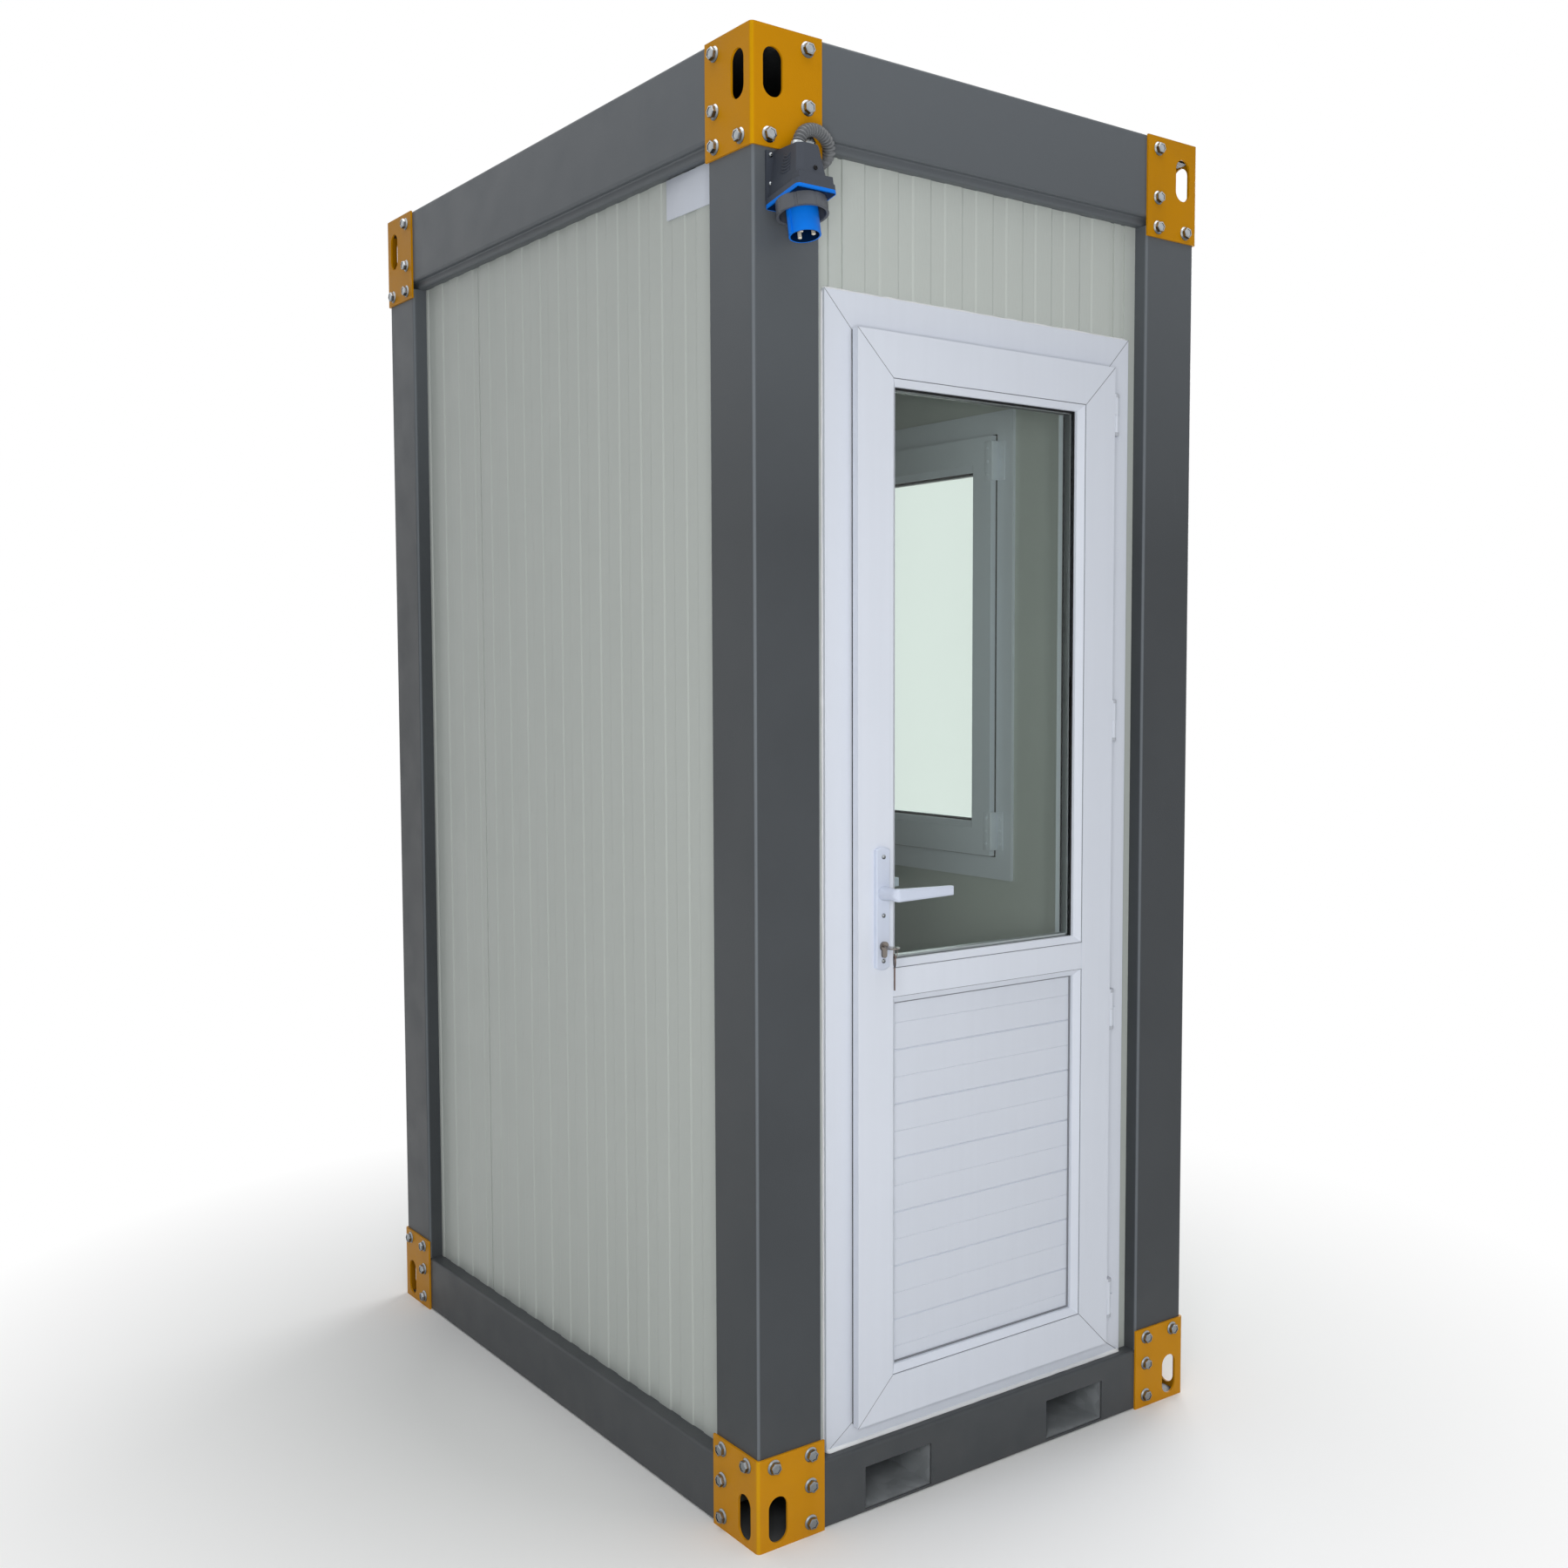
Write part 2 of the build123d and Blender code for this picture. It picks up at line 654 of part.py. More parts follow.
def inlet_housing():
    """Tapered hood on the post, with a skirt along its front and a rim on the tilted plane below."""
    reach = rim_depth * cos(radians(inlet_tilt))
    top = Pos(inlet_x, -face_y - housing_top_depth / 2, inlet_top)
    bottom = Pos(inlet_x, -face_y - reach / 2, inlet_top - housing_height)
    top_outline = top * Rectangle(housing_top_width, housing_top_depth)
    hood = loft([bottom * Rectangle(rim_width - rim_corner, reach), top_outline], ruled=True)
    upright = hood.edges().filter_by(lambda edge: abs(edge.tangent_at(0).Z) > cos(radians(45)))
    hood = chamfer(upright.sort_by(Axis.Y)[:2], hood_bevel)
    hood -= extrude(rim_plane * Rectangle(2 * rim_width, 2 * rim_depth), rim_depth)
    rim = extrude(rim_plane * rim_outline, -rim_thickness)
    skirt_place = Pos(0, (rim_depth - skirt_depth) / 2 - skirt_inset, 0)
    skirt = rim_plane * skirt_place * Rectangle(skirt_width, skirt_depth)
    rim += extrude(skirt, -rim_thickness - skirt_height)
    ears = (inlet_x - ear_width / 2, inlet_x + ear_width / 2)
    plate = block(ears, (-face_y - ear_thickness, -face_y), (rim_z, inlet_top))
    height = grown((rim_z - rim_depth, inlet_top), overrun)
    behind_post = block(grown(ears, overrun), (-face_y, -face_y + overrun), height)
    return hood + rim + plate - behind_post


def inlet_plug():
    """Gasket plate and sleeve, hollow at its end, with the contact pins inside."""
    gasket = extrude(rim_outline, gasket_thickness)
    sleeve = Cylinder(sleeve_radius, sleeve_length, align=on_base)
    floor_level = sleeve_length - sleeve_cavity
    bottom = Pos(0, 0, floor_level)
    cavity = Cylinder(sleeve_radius - sleeve_wall, sleeve_cavity + overrun, align=on_base)
    sleeve -= bottom * cavity
    key_x = (-sleeve_radius - key_height, -sleeve_radius + sleeve_wall)
    sleeve += block(key_x, around_zero(key_width), (collar_length, sleeve_length))
    for pin in PolarLocations(contact_circle_radius, contact_count, start_angle=-90):
        sleeve += bottom * pin * Cylinder(contact_radius, contact_length, align=on_base)
    width = grown(around_zero(rim_width), overrun)
    behind_post = block(width, (-face_y, -face_y + rim_depth), (0, cabin_height))
    return rim_plane * (gasket + sleeve) - Pos(inlet_x, 0, 0) * behind_post


def inlet_collar():
    """Locking collar with a faceted grip round the sleeve, against the gasket plate."""
    ring = RegularPolygon(collar_radius, collar_sides)
    ring -= RegularPolygon(collar_radius - collar_wall, collar_sides)
    return rim_plane * Pos(0, 0, gasket_thickness) * extrude(ring, collar_length)


def inlet_conduit():
    """Conduit from the top of the hood, over an arch and back into the front wall."""
    start = Vector(inlet_x, -face_y - housing_top_depth / 2, inlet_top)
    entry = Vector((post_leg - face_x + door_frame_x[0]) / 2, -wall_y, inlet_top - conduit_drop)
    middle, half = (start.X + entry.X) / 2, (entry.X - start.X) / 2
    route = [start]
    for turn in range(conduit_turns + 1):
        around = radians(180 * turn / conduit_turns)
        backward = conduit_back * turn / conduit_turns
        level = inlet_top + conduit_rise + conduit_arch * sin(around)
        route.append(Vector(middle - half * cos(around), start.Y + backward, level))
    fall = Vector(entry.X, route[-1].Y, entry.Z + conduit_radius)
    route += [fall, Vector(entry.X, fall.Y + conduit_radius, entry.Z), entry]
    section = Plane(start, z_dir=(0, 0, 1)) * RegularPolygon(conduit_radius, conduit_sides)
    return sweep(section, Polyline(*route), transition=Transition.RIGHT)


# Every node of the cabin
nodes = {}
top_level = top_plate_height - top_slot_depth
top_bottom = cabin_height - top_plate_height
for turns, corner in enumerate(corners):
    nodes[f"post_{corner}"] = post(turns)
    nodes[f"corner_plate_top_{corner}"] = corner_plate(turns, top_plate_height, top_level, top_bottom)
    nodes[f"corner_plate_base_{corner}"] = corner_plate(turns, base_plate_height, base_slot_height, 0)
for turns, side in enumerate(sides):
    nodes[f"top_beam_{side}"] = top_beam(turns)
    nodes[f"base_beam_{side}"] = base_beam(turns)
nodes |= walls()
nodes["fork_pockets"] = fork_pockets()
nodes["floor"] = floor()
nodes["ceiling_panel"] = ceiling()
nodes["roof_panel"] = roof()
nodes["door_frame"] = door_frame()
nodes["door_sash"] = door_sash()
nodes["door_glass"] = door_glass()
nodes["door_boards"] = door_boards()
nodes["handle_plates"] = handle_plates()
nodes["lock_cylinder"] = lock_cylinder()
nodes["door_lever"] = door_lever()
nodes["hinges_on_frame"] = Part() + [frame_hinge(level) for level in hinge_levels]
nodes["hinges_on_door"] = Part() + [door_hinge(level) for level in hinge_levels]
nodes["window_frame"] = window_frame()
nodes["window_sash"] = window_sash()
nodes["window_glass"] = window_glass()
nodes["inlet_housing"] = inlet_housing()
nodes["inlet_plug"] = inlet_plug()
nodes["inlet_collar"] = inlet_collar()
nodes["inlet_conduit"] = inlet_conduit()

outlines = [shape.bounding_box() for shape in nodes.values()]
front = min(outline.min.Y for outline in outlines)
back = max(outline.max.Y for outline in outlines)
centred = Pos(0, -(front + back) / 2, 0)

os.makedirs("parts", exist_ok=True)
for name, shape in nodes.items():
    export_step(centred * shape, f"parts/{name}.step")
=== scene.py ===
"""Dresses the frame of a small guard cabin with bolts, glazing, seals, inlet fittings, keys and finishes."""
import json
import math

import bpy
from bpy.props import FloatProperty, FloatVectorProperty, PointerProperty
from mathutils import Matrix, Vector


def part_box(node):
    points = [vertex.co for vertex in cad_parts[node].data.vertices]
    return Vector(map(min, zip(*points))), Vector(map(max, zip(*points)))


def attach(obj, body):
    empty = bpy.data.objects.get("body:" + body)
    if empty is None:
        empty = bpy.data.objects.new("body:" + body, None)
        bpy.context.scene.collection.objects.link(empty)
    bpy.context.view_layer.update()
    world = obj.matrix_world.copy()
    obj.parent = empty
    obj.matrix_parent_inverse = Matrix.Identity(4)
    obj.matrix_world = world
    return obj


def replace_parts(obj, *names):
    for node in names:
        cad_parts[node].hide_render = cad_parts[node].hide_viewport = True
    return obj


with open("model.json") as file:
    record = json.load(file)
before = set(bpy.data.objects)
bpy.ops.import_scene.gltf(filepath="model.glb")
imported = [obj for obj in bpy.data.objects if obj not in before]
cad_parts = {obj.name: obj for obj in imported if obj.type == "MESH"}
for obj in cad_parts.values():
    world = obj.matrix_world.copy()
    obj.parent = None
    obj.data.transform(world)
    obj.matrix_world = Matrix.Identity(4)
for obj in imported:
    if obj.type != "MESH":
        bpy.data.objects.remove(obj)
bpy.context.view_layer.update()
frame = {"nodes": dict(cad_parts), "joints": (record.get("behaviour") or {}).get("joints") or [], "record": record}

bl_info = {
    "name": "Guard cabin",
    "version": (1, 0, 0),
    "blender": (4, 5, 0),
    "location": "3D View > Sidebar > Cabin",
    "description": "Fits a guard cabin's frame with its small pieces, finishes and a studio stage",
    "category": "Object",
}


# Directions

def rotate(degrees, axis):
    """Turn about an axis."""
    return Matrix.Rotation(math.radians(degrees), 4, axis)


def aim(direction):
    """Turn that points the upward axis along a direction."""
    return UP.rotation_difference(direction).to_matrix().to_4x4()


move = Matrix.Translation
UP = Vector((0, 0, 1))
TO_FRONT = rotate(90, "X")
TO_RIGHT = rotate(90, "Z") @ TO_FRONT
TO_LEFT = rotate(-90, "Z") @ TO_FRONT
CORNERS = {"front_left": (-1, -1), "front_right": (1, -1), "back_right": (1, 1), "back_left": (-1, 1)}
SQUARELY = 0.9  # least part of a normal along an axis, for a face that looks along it


# Settings

def length(name, description, default):
    """A size in metres that a user may change."""
    return FloatProperty(name=name, description=description, default=default, unit="LENGTH", precision=4)


def lengths(name, description, *default):
    """Sizes in metres that a user may change together."""
    return FloatVectorProperty(
        name=name, description=description, default=default, size=len(default), unit="LENGTH", precision=4)


def shares(name, description, *default):
    """Shares of a length that a user may change together."""
    return FloatVectorProperty(name=name, description=description, default=default, size=len(default))


def angle(name, description, degrees):
    """An angle that a user may change, given in degrees."""
    return FloatProperty(name=name, description=description, default=math.radians(degrees), subtype="ANGLE")


def colour(name, description, *default):
    """A colour that a user may change."""
    return FloatVectorProperty(
        name=name, description=description, default=default, subtype="COLOR", min=0, max=1)


def power(name, description, default):
    """A lamp's power that a user may change."""
    return FloatProperty(name=name, description=description, default=default, min=0, unit="POWER")


class CabinBolts(bpy.types.PropertyGroup):
    """Sizes of the corner plates' bolts and feet."""

    flange_radius: length("Flange radius", "Radius of a bolt's flange", 0.013)
    flange_height: length("Flange height", "Height of the flange's rim", 0.0016)
    dome_height: length("Dome height", "Rise of the flange from its rim to the head", 0.002)
    head_radius: length("Head radius", "Radius over the hexagon's corners", 0.0105)
    head_height: length("Head height", "Height of the whole head", 0.0112)
    column: length("Column", "Distance of the row of three from the plate's bend", 0.109)
    inner: length("Inner bolt", "Distance of the single bolt from the plate's bend", 0.033)
    top_levels: lengths("Top levels", "Depths of the bolts in an upper plate", 0.024, 0.116, 0.172)
    base_levels: lengths("Base levels", "Heights of the bolts in a lower plate", 0.023, 0.088, 0.142)
    foot_gap: length("Foot gap", "Distance of a foot from the outside of its plate", 0.01)
    foot_reach: length("Foot reach", "Length and width of a foot", 0.15)
    foot_level: length("Foot level", "Height of a foot above the ground", 0.0035)
    foot_thickness: length("Foot thickness", "Thickness of a foot", 0.003)


class CabinGlazing(bpy.types.PropertyGroup):
    """Sizes of the double glazing, the seals, the mitres' welds and the sealant."""

    pane: length("Pane", "Thickness of each pane", 0.004)
    spacer_height: length("Spacer height", "Reach of the spacer bar from the panes' edge", 0.017)
    spacer_margin: length("Spacer margin", "Distance of the spacer bar from the panes' edge", 0.003)
    rebate: length("Rebate", "Depth of the panes' edge inside the sash", 0.012)
    seal_width: length("Seal width", "Part of a seal that shows inside the sash", 0.0035)
    seal_height: length("Seal height", "Thickness of a seal on the pane", 0.002)
    bead_joint_depth: length("Bead joint depth", "Step from the sash's face to its beads", 0.002)
    bead_joint_reach: length("Bead joint reach", "Distance of that step from the panes' edge", 0.001)
    gasket_inset: length("Gasket inset", "Distance of the door's gasket from the sash's edge", 0.0015)
    gasket_width: length("Gasket width", "Width of the door's gasket", 0.006)
    gasket_height: length("Gasket height", "Thickness of the door's gasket", 0.0048)
    sash_face: length("Sash face", "Width of the sash's face", 0.076)
    sash_overlap: length("Sash overlap", "How far the sash covers the door frame", 0.01)
    weld_width: length("Weld width", "Width of a mitre's weld", 0.0013)
    weld_height: length("Weld height", "Thickness of a mitre's weld", 0.0004)
    weld_depth: length("Weld depth", "Depth of a mitre's groove", 0.0007)
    bead_radius: length("Bead radius", "Size of the sealant's bead", 0.0045)
    bead_step: length("Bead step", "Distance between the bead's uneven places", 0.012)
    bead_wobble: length("Bead wobble", "How uneven the bead is", 0.0016)


class CabinFittings(bpy.types.PropertyGroup):
    """Sizes of the screws, keys, hinge caps, wall plate, conduit and window hinges."""

    screw_radius: length("Screw radius", "Radius of a small screw's head", 0.0039)
    screw_height: length("Screw height", "Height of a small screw's head", 0.0026)
    plate_screws: shares("Plate screws", "Depths of the plate's screws, as shares", 0.079, 0.554, 0.924)
    key_thickness: length("Key thickness", "Thickness of a key", 0.0022)
    key_bow: length("Key bow", "Radius of a key's bow", 0.0122)
    key_blade: length("Key blade", "Length of a key's blade", 0.031)
    key_blade_width: length("Key blade width", "Width of a key's blade", 0.0075)
    key_collar: length("Key collar", "Distance between a key's bow and its blade", 0.01)
    key_easing: length("Key easing", "Size of a key's eased edges", 0.0003)
    ring_radius: length("Ring radius", "Radius of the key ring", 0.0095)
    ring_wire: length("Ring wire", "Radius of the key ring's wire", 0.0009)
    hinge_shares: shares("Hinge shares", "Heights of the door's hinges, as shares", 0.046, 0.35, 0.647, 0.954)
    hinge_cap_radius: length("Hinge cap radius", "Radius of a hinge's caps", 0.0089)
    hinge_cap_height: length("Hinge cap height", "Height of a hinge's caps", 0.006)
    hinge_height: length("Hinge height", "Height of a hinge", 0.078)
    sign_low: lengths("Sign low", "Back lower corner of the left wall's plate, along and up", -0.393, 2.259)
    sign_size: lengths("Sign size", "Length and height of the left wall's plate", 0.176, 0.069)
    sign_thickness: length("Sign thickness", "Thickness of the left wall's plate", 0.003)
    conduit_pitch: length("Conduit pitch", "Distance between the conduit's ribs", 0.0066)
    conduit_crest: length("Conduit crest", "Radius over the conduit's ribs", 0.0108)
    conduit_groove: length("Conduit groove", "Radius between the conduit's ribs", 0.0075)
    ferrule_radius: length("Ferrule radius", "Radius of the conduit's metal end", 0.0128)
    ferrule_height: length("Ferrule height", "Height of the conduit's metal end", 0.012)
    window_hinge_height: length("Window hinge height", "Height of a window hinge", 0.084)
    window_hinge_leaf: length("Window hinge leaf", "Width of a window hinge's leaves", 0.018)
    window_hinge_sheet: length("Window hinge sheet", "Thickness of a window hinge's leaves", 0.0025)
    window_hinge_knuckle: length("Window hinge knuckle", "Radius of a window hinge's knuckle", 0.005)
    window_hinge_inset: length("Window hinge inset", "Distance of a window hinge from the sash's end", 0.055)
    window_seal: length("Window seal", "Width of the seal round the window sash", 0.003)


class CabinInlet(bpy.types.PropertyGroup):
    """Sizes of the power inlet's fittings."""

    sleeve_length: length("Sleeve length", "Distance of the sleeve's mouth from the hood's rim", 0.0621)
    flange_thickness: length("Flange thickness", "Thickness of the blue flange", 0.005)
    # Painted shade: the plate under the flange is a dark sheet standing in for the flange's shaded underside.
    flange_shade_half: lengths("Flange half", "Half width and depth of the plate under the flange", 0.0362, 0.0438)
    collar_radius: length("Collar radius", "Radius of the locking collar", 0.0415)
    collar_wall: length("Collar wall", "Thickness of the locking collar", 0.004)
    collar_length: length("Collar length", "Length of the locking collar", 0.0225)
    collar_groove: length("Collar groove", "Depth of the collar's grip grooves", 0.0009)
    # Painted shade: the sleeve's dark lining stands in for the shade inside its hollow.
    sleeve_shade_radius: length("Lining radius", "Radius of the sleeve's dark lining", 0.0233)
    cavity: length("Cavity", "Depth of the sleeve's hollow", 0.0398)
    pin_radius: length("Pin radius", "Radius of a contact pin", 0.0034)
    pin_length: length("Pin length", "Length of a contact pin", 0.0375)
    pin_circle: length("Pin circle", "Radius of the circle of pins", 0.014)
    hood_half: length("Hood half", "Half the width of the hood's top", 0.022)
    hood_depth: length("Hood depth", "Depth of the hood's top", 0.074)
    hood_side_lean: angle("Hood side lean", "Slope of the hood's sides", 8.4)
    hood_front_lean: angle("Hood front lean", "Slope of the hood's front", 11.75)
    grip_radius: length("Grip radius", "Radius of the uppermost grip rib", 0.0125)
    grip_height: length("Grip height", "Height of a grip rib", 0.0016)
    grip_pitch: length("Grip pitch", "Distance between the grip ribs", 0.0051)
    grip_drop: length("Grip drop", "Distance of the uppermost grip rib below the hood's top", 0.0175)
    grip_depth: length("Grip depth", "Distance of the grip ribs' middle from the post", 0.0435)
    front_screw_drop: length("Front screw drop", "Distance of the front screw below the hood's top", 0.04)
    front_screw_side: length("Front screw side", "Distance of the front screw from the middle", 0.0027)
    ear_screw_side: length("Ear screw side", "Distance of the ears' screws from the ears' edges", 0.0105)
    ear_screw_drops: lengths("Ear screw drops", "Distances of those screws below the top", 0.0065, 0.052)
    ear_thickness: length("Ear thickness", "Thickness of the ears", 0.004)


class CabinColours(bpy.types.PropertyGroup):
    """Colours of the paints, plastics and metals."""

    frame_paint: colour("Frame paint", "Grey paint on posts and beams", 0.06, 0.066, 0.072)
    plate_paint: colour("Plate paint", "Yellow paint on the corner plates", 0.594, 0.255, 0.0004)
    panel_coat: colour("Panel coat", "Pale coat on the wall panels", 0.52, 0.552, 0.52)
    profile: colour("Profile", "White plastic of the door and window", 0.70, 0.735, 0.81)
    enamel: colour("Enamel", "White paint on the handle", 0.60, 0.65, 0.765)
    wall_plate: colour("Wall plate", "White paint on the left wall's plate", 0.66, 0.70, 0.78)
    zinc: colour("Zinc", "Zinc coat on fork pockets and bolts", 0.50, 0.53, 0.55)
    nickel: colour("Nickel", "Plating on the lock", 0.26, 0.235, 0.215)
    brass: colour("Brass", "Worn brass of the hanging key", 0.15, 0.105, 0.088)
    contact: colour("Contact", "Metal of the inlet's pins", 0.85, 0.81, 0.70)
    inlet_body: colour("Inlet body", "Dark plastic of the inlet's hood", 0.05, 0.058, 0.075)
    collar: colour("Collar", "Grey plastic of the inlet's locking collar", 0.10, 0.107, 0.12)
    inlet_blue: colour("Inlet blue", "Blue plastic of the inlet's sleeve", 0.004, 0.185, 0.78)
    conduit: colour("Conduit", "Grey plastic of the conduit", 0.165, 0.172, 0.18)
    rubber: colour("Rubber", "Black rubber of the seals", 0.012, 0.012, 0.013)
    sealant: colour("Sealant", "White sealant round the door frame", 0.84, 0.85, 0.86)
    floor_board: colour("Floor board", "Sealed board inside the cabin", 0.30, 0.27, 0.23)


class CabinStage(bpy.types.PropertyGroup):
    """Camera, floor and light."""

    camera_place: FloatVectorProperty(
        name="Camera place", description="Where the camera stands", default=(-2.0161, -2.9529, 1.4698),
        subtype="TRANSLATION", unit="LENGTH")
    camera_heading: angle("Camera heading", "Turn of the view from the depth to the right", 37.658)
    camera_tilt: angle("Camera tilt", "Rise of the view above the level", -3.749)
    camera_lens: FloatProperty(
        name="Camera lens", description="Focal length for the sensor", default=38.181, unit="CAMERA")
    camera_sensor: FloatProperty(
        name="Camera sensor", description="Width of the sensor", default=36, unit="CAMERA")
    camera_shift: FloatProperty(
        name="Camera shift", description="Sideways shift, as a share of the picture's width", default=-0.0556)
    floor_size: length("Floor size", "Width of the floor", 60)
    floor_near: length("Floor near", "Distance from the middle up to which the floor shows its shade", 0.75)
    floor_far: length("Floor far", "Distance from the middle at which the floor is white", 2.0)
    sky_strength: FloatProperty(name="Sky strength", description="Light from all round", default=0.28, min=0)
    top_power: power("Top power", "Lamp above the cabin", 110)
    front_power: power("Front power", "Lamp before the cabin", 15)
    side_power: power("Side power", "Lamp at the cabin's left", 26)
    right_power: power("Right power", "Lamp at the cabin's right", 145)


# Finishes

def add_node(tree, kind, inputs=(), **settings):
    """Add a node, set or link its inputs, and return its outputs."""
    node = tree.nodes.new("ShaderNode" + kind)
    for key, value in settings.items():
        setattr(node, key, value)
    for socket, value in dict(inputs).items():
        if isinstance(value, bpy.types.NodeSocket):
            tree.links.new(value, node.inputs[socket])
        else:
            node.inputs[socket].default_value = value
    return node.outputs


def shade(tone, factor):
    """A colour made darker or lighter."""
    return tuple(min(1.0, part * factor) for part in tone)


class Finish:
    """A procedural finish: one shader fed by patterns that stay fixed to the piece."""

    CLOUDS = (0.3, 0.7)  # range in which most of a noise lies

    def __init__(self, name, **values):
        self.material = bpy.data.materials.new(name)
        self.material.use_nodes = True
        self.tree = self.material.node_tree
        self.shader = self.tree.nodes["Principled BSDF"]
        for socket, value in values.items():
            title = socket.replace("_", " ").title().replace("Ior", "IOR")
            self.shader.inputs[title].default_value = value
        self.place = self.node("TexCoord")["Object"]

    def node(self, kind, inputs=(), **settings):
        """Add a node to this finish and return its outputs."""
        return add_node(self.tree, kind, inputs, **settings)

    def noise(self, scale, detail=3, stretch=(1, 1, 1), roughness=0.5):
        """Cloudy pattern, stretched along the axes where the share is small."""
        place = self.node("Mapping", {"Vector": self.place, "Scale": stretch})["Vector"]
        values = {"Vector": place, "Scale": scale, "Detail": detail, "Roughness": roughness}
        return self.node("TexNoise", values)["Fac"]

    def height(self):
        """Height above the ground."""
        return self.node("SeparateXYZ", {"Vector": self.place})["Z"]

    def facing(self):
        """Parts of the surface's normal along the axes."""
        return self.node("SeparateXYZ", {"Vector": self.node("TexCoord")["Normal"]})

    def spread(self, value, start, end, low, high):
        """Value mapped from one range to another."""
        values = {"Value": value, "From Min": start, "From Max": end, "To Min": low, "To Max": high}
        return self.node("MapRange", values)["Result"]

    def math(self, operation, first, second=0):
        """Sum, product or other result of two values."""
        return self.node("Math", {0: first, 1: second}, operation=operation)["Value"]

    def mix(self, value, first, second):
        """Colour between two tones, or a tone laid over a colour, by a mask."""
        node = self.tree.nodes.new("ShaderNodeMix")
        node.data_type = "RGBA"
        self.tree.links.new(value, node.inputs[0])
        for socket, part in zip((socket for socket in node.inputs if socket.type == "RGBA"), (first, second)):
            if isinstance(part, bpy.types.NodeSocket):
                self.tree.links.new(part, socket)
            else:
                socket.default_value = (*part, 1)
        return next(socket for socket in node.outputs if socket.type == "RGBA")

    def cloud(self, pattern, tone, low, high):
        """Tone made darker and lighter by a pattern, between two factors."""
        return self.mix(self.spread(pattern, *self.CLOUDS, 0, 1), shade(tone, low), shade(tone, high))

    def feed(self, socket, value):
        """Link a value to one of the shader's sockets."""
        self.tree.links.new(value, self.shader.inputs[socket])

    def show(self, shader):
        """Show another shader in place of the finish's own."""
        self.tree.links.new(shader, self.tree.nodes["Material Output"].inputs["Surface"])

    def made(self, base, gloss, smooth, rough, relief, depth, span=CLOUDS):
        """The finish with its colour, its roughness between two values and a relief in metres."""
        self.feed("Base Color", base)
        self.feed("Roughness", self.spread(gloss, *span, smooth, rough))
        values = {"Height": relief, "Distance": depth, "Strength": 1}
        self.feed("Normal", self.node("Bump", values)["Normal"])
        return self.material


def painted_steel(name, tone, roughness, dust, gloss, bend_highlight, top_highlight):
    """Sprayed paint: orange peel, faint clouds, scratches, dust below, a painted highlight on the bends and a
    painted highlight that grows towards the top.
    """
    finish = Finish(name, Specular_Ior_Level=gloss)
    base = finish.cloud(finish.noise(3.5, 5), tone, 0.92, 1.07)
    scratches = finish.noise(60, 2, (1, 1, 0.04), 0.6)
    base = finish.mix(finish.spread(scratches, 0.74, 0.8, 0, 0.22), base, shade(tone, 1.9))
    dust_top, highlight_from, highlight_full = 0.35, 1.7, 2.5
    height = finish.height()
    ground = finish.math("MULTIPLY", finish.spread(height, dust_top, 0, 0, dust), finish.noise(18, 6))
    base = finish.mix(ground, base, (0.36, 0.34, 0.31))
    # Painted highlight: the paint turns paler from 1.7 m up to 2.5 m, standing in for the sky's reflection on the
    # upper beams.
    base = finish.mix(finish.spread(height, highlight_from, highlight_full, 0, top_highlight), base, shade(tone, 2.4))
    # Painted highlight: where the normal lies between X and Y, on the bends, the paint turns paler, standing in
    # for the gloss on the bent edges.
    facing = finish.facing()
    bend = finish.math("ABSOLUTE", finish.math("MULTIPLY", facing["X"], facing["Y"]))
    base = finish.mix(finish.spread(bend, 0.2, 0.45, 0, bend_highlight), base, shade(tone, 3))
    peel = finish.noise(520, 2)
    return finish.made(base, finish.noise(14, 4), roughness - 0.05, roughness + 0.07, peel, 0.00025)


def panel_coat(name, tone, back=None):
    """Coil coated sheet: nearly even, with upright streaks and, if a back tone is given, painted shade in that
    tone on all but its top.
    """
    finish = Finish(name, Specular_Ior_Level=0.25)
    base = finish.cloud(finish.noise(7, 2, (1, 1, 0.04)), tone, 0.985, 1.015)
    marks = finish.noise(7, 8, (1, 1, 0.6), 0.65)
    base = finish.mix(finish.spread(marks, 0.66, 0.8, 0, 0.1), base, (0.30, 0.29, 0.26))
    # Painted shade: every face but the top takes the dark back tone, standing in for the shade under the roof
    # panel and at its edges.
    if back:
        base = finish.mix(finish.spread(finish.facing()["Z"], 0.9, 0.5, 0, 1), base, back)
    return finish.made(base, finish.noise(9, 4), 0.3, 0.4, finish.noise(240, 2, (1, 1, 0.3)), 0.0002)


def smooth_plastic(name, tone, roughness, gloss=0.4, grain=600, relief=0.00012):
    """Moulded or drawn plastic: an even tone with faint drawn lines, a fine grain and a few specks."""
    finish = Finish(name, Specular_Ior_Level=gloss)
    clouds = finish.math("ADD", finish.noise(5, 4), finish.noise(60, 2, (1, 1, 0.03)))
    base = finish.mix(finish.spread(clouds, 0.6, 1.4, 0, 1), shade(tone, 0.985), shade(tone, 1.015))
    base = finish.mix(finish.spread(finish.noise(420, 2), 0.74, 0.84, 0, 0.2), base, shade(tone, 0.5))
    grains = finish.noise(grain, 2)
    return finish.made(base, finish.noise(21, 4), roughness - 0.04, roughness + 0.05, grains, relief)


def galvanised(name, tone):
    """Hot dip zinc with its crystal spangle."""
    finish = Finish(name, Metallic=0.4)
    crystals = finish.node("TexVoronoi", {"Vector": finish.place, "Scale": 55})["Color"]
    spangle = finish.node("SeparateColor", {"Color": crystals})["Red"]
    base = finish.mix(spangle, shade(tone, 0.86), shade(tone, 1.06))
    base = finish.mix(finish.spread(finish.noise(11, 6), 0.55, 0.75, 0, 0.3), base, shade(tone, 0.7))
    return finish.made(base, spangle, 0.34, 0.52, finish.noise(160, 3), 0.00015, span=(0, 1))


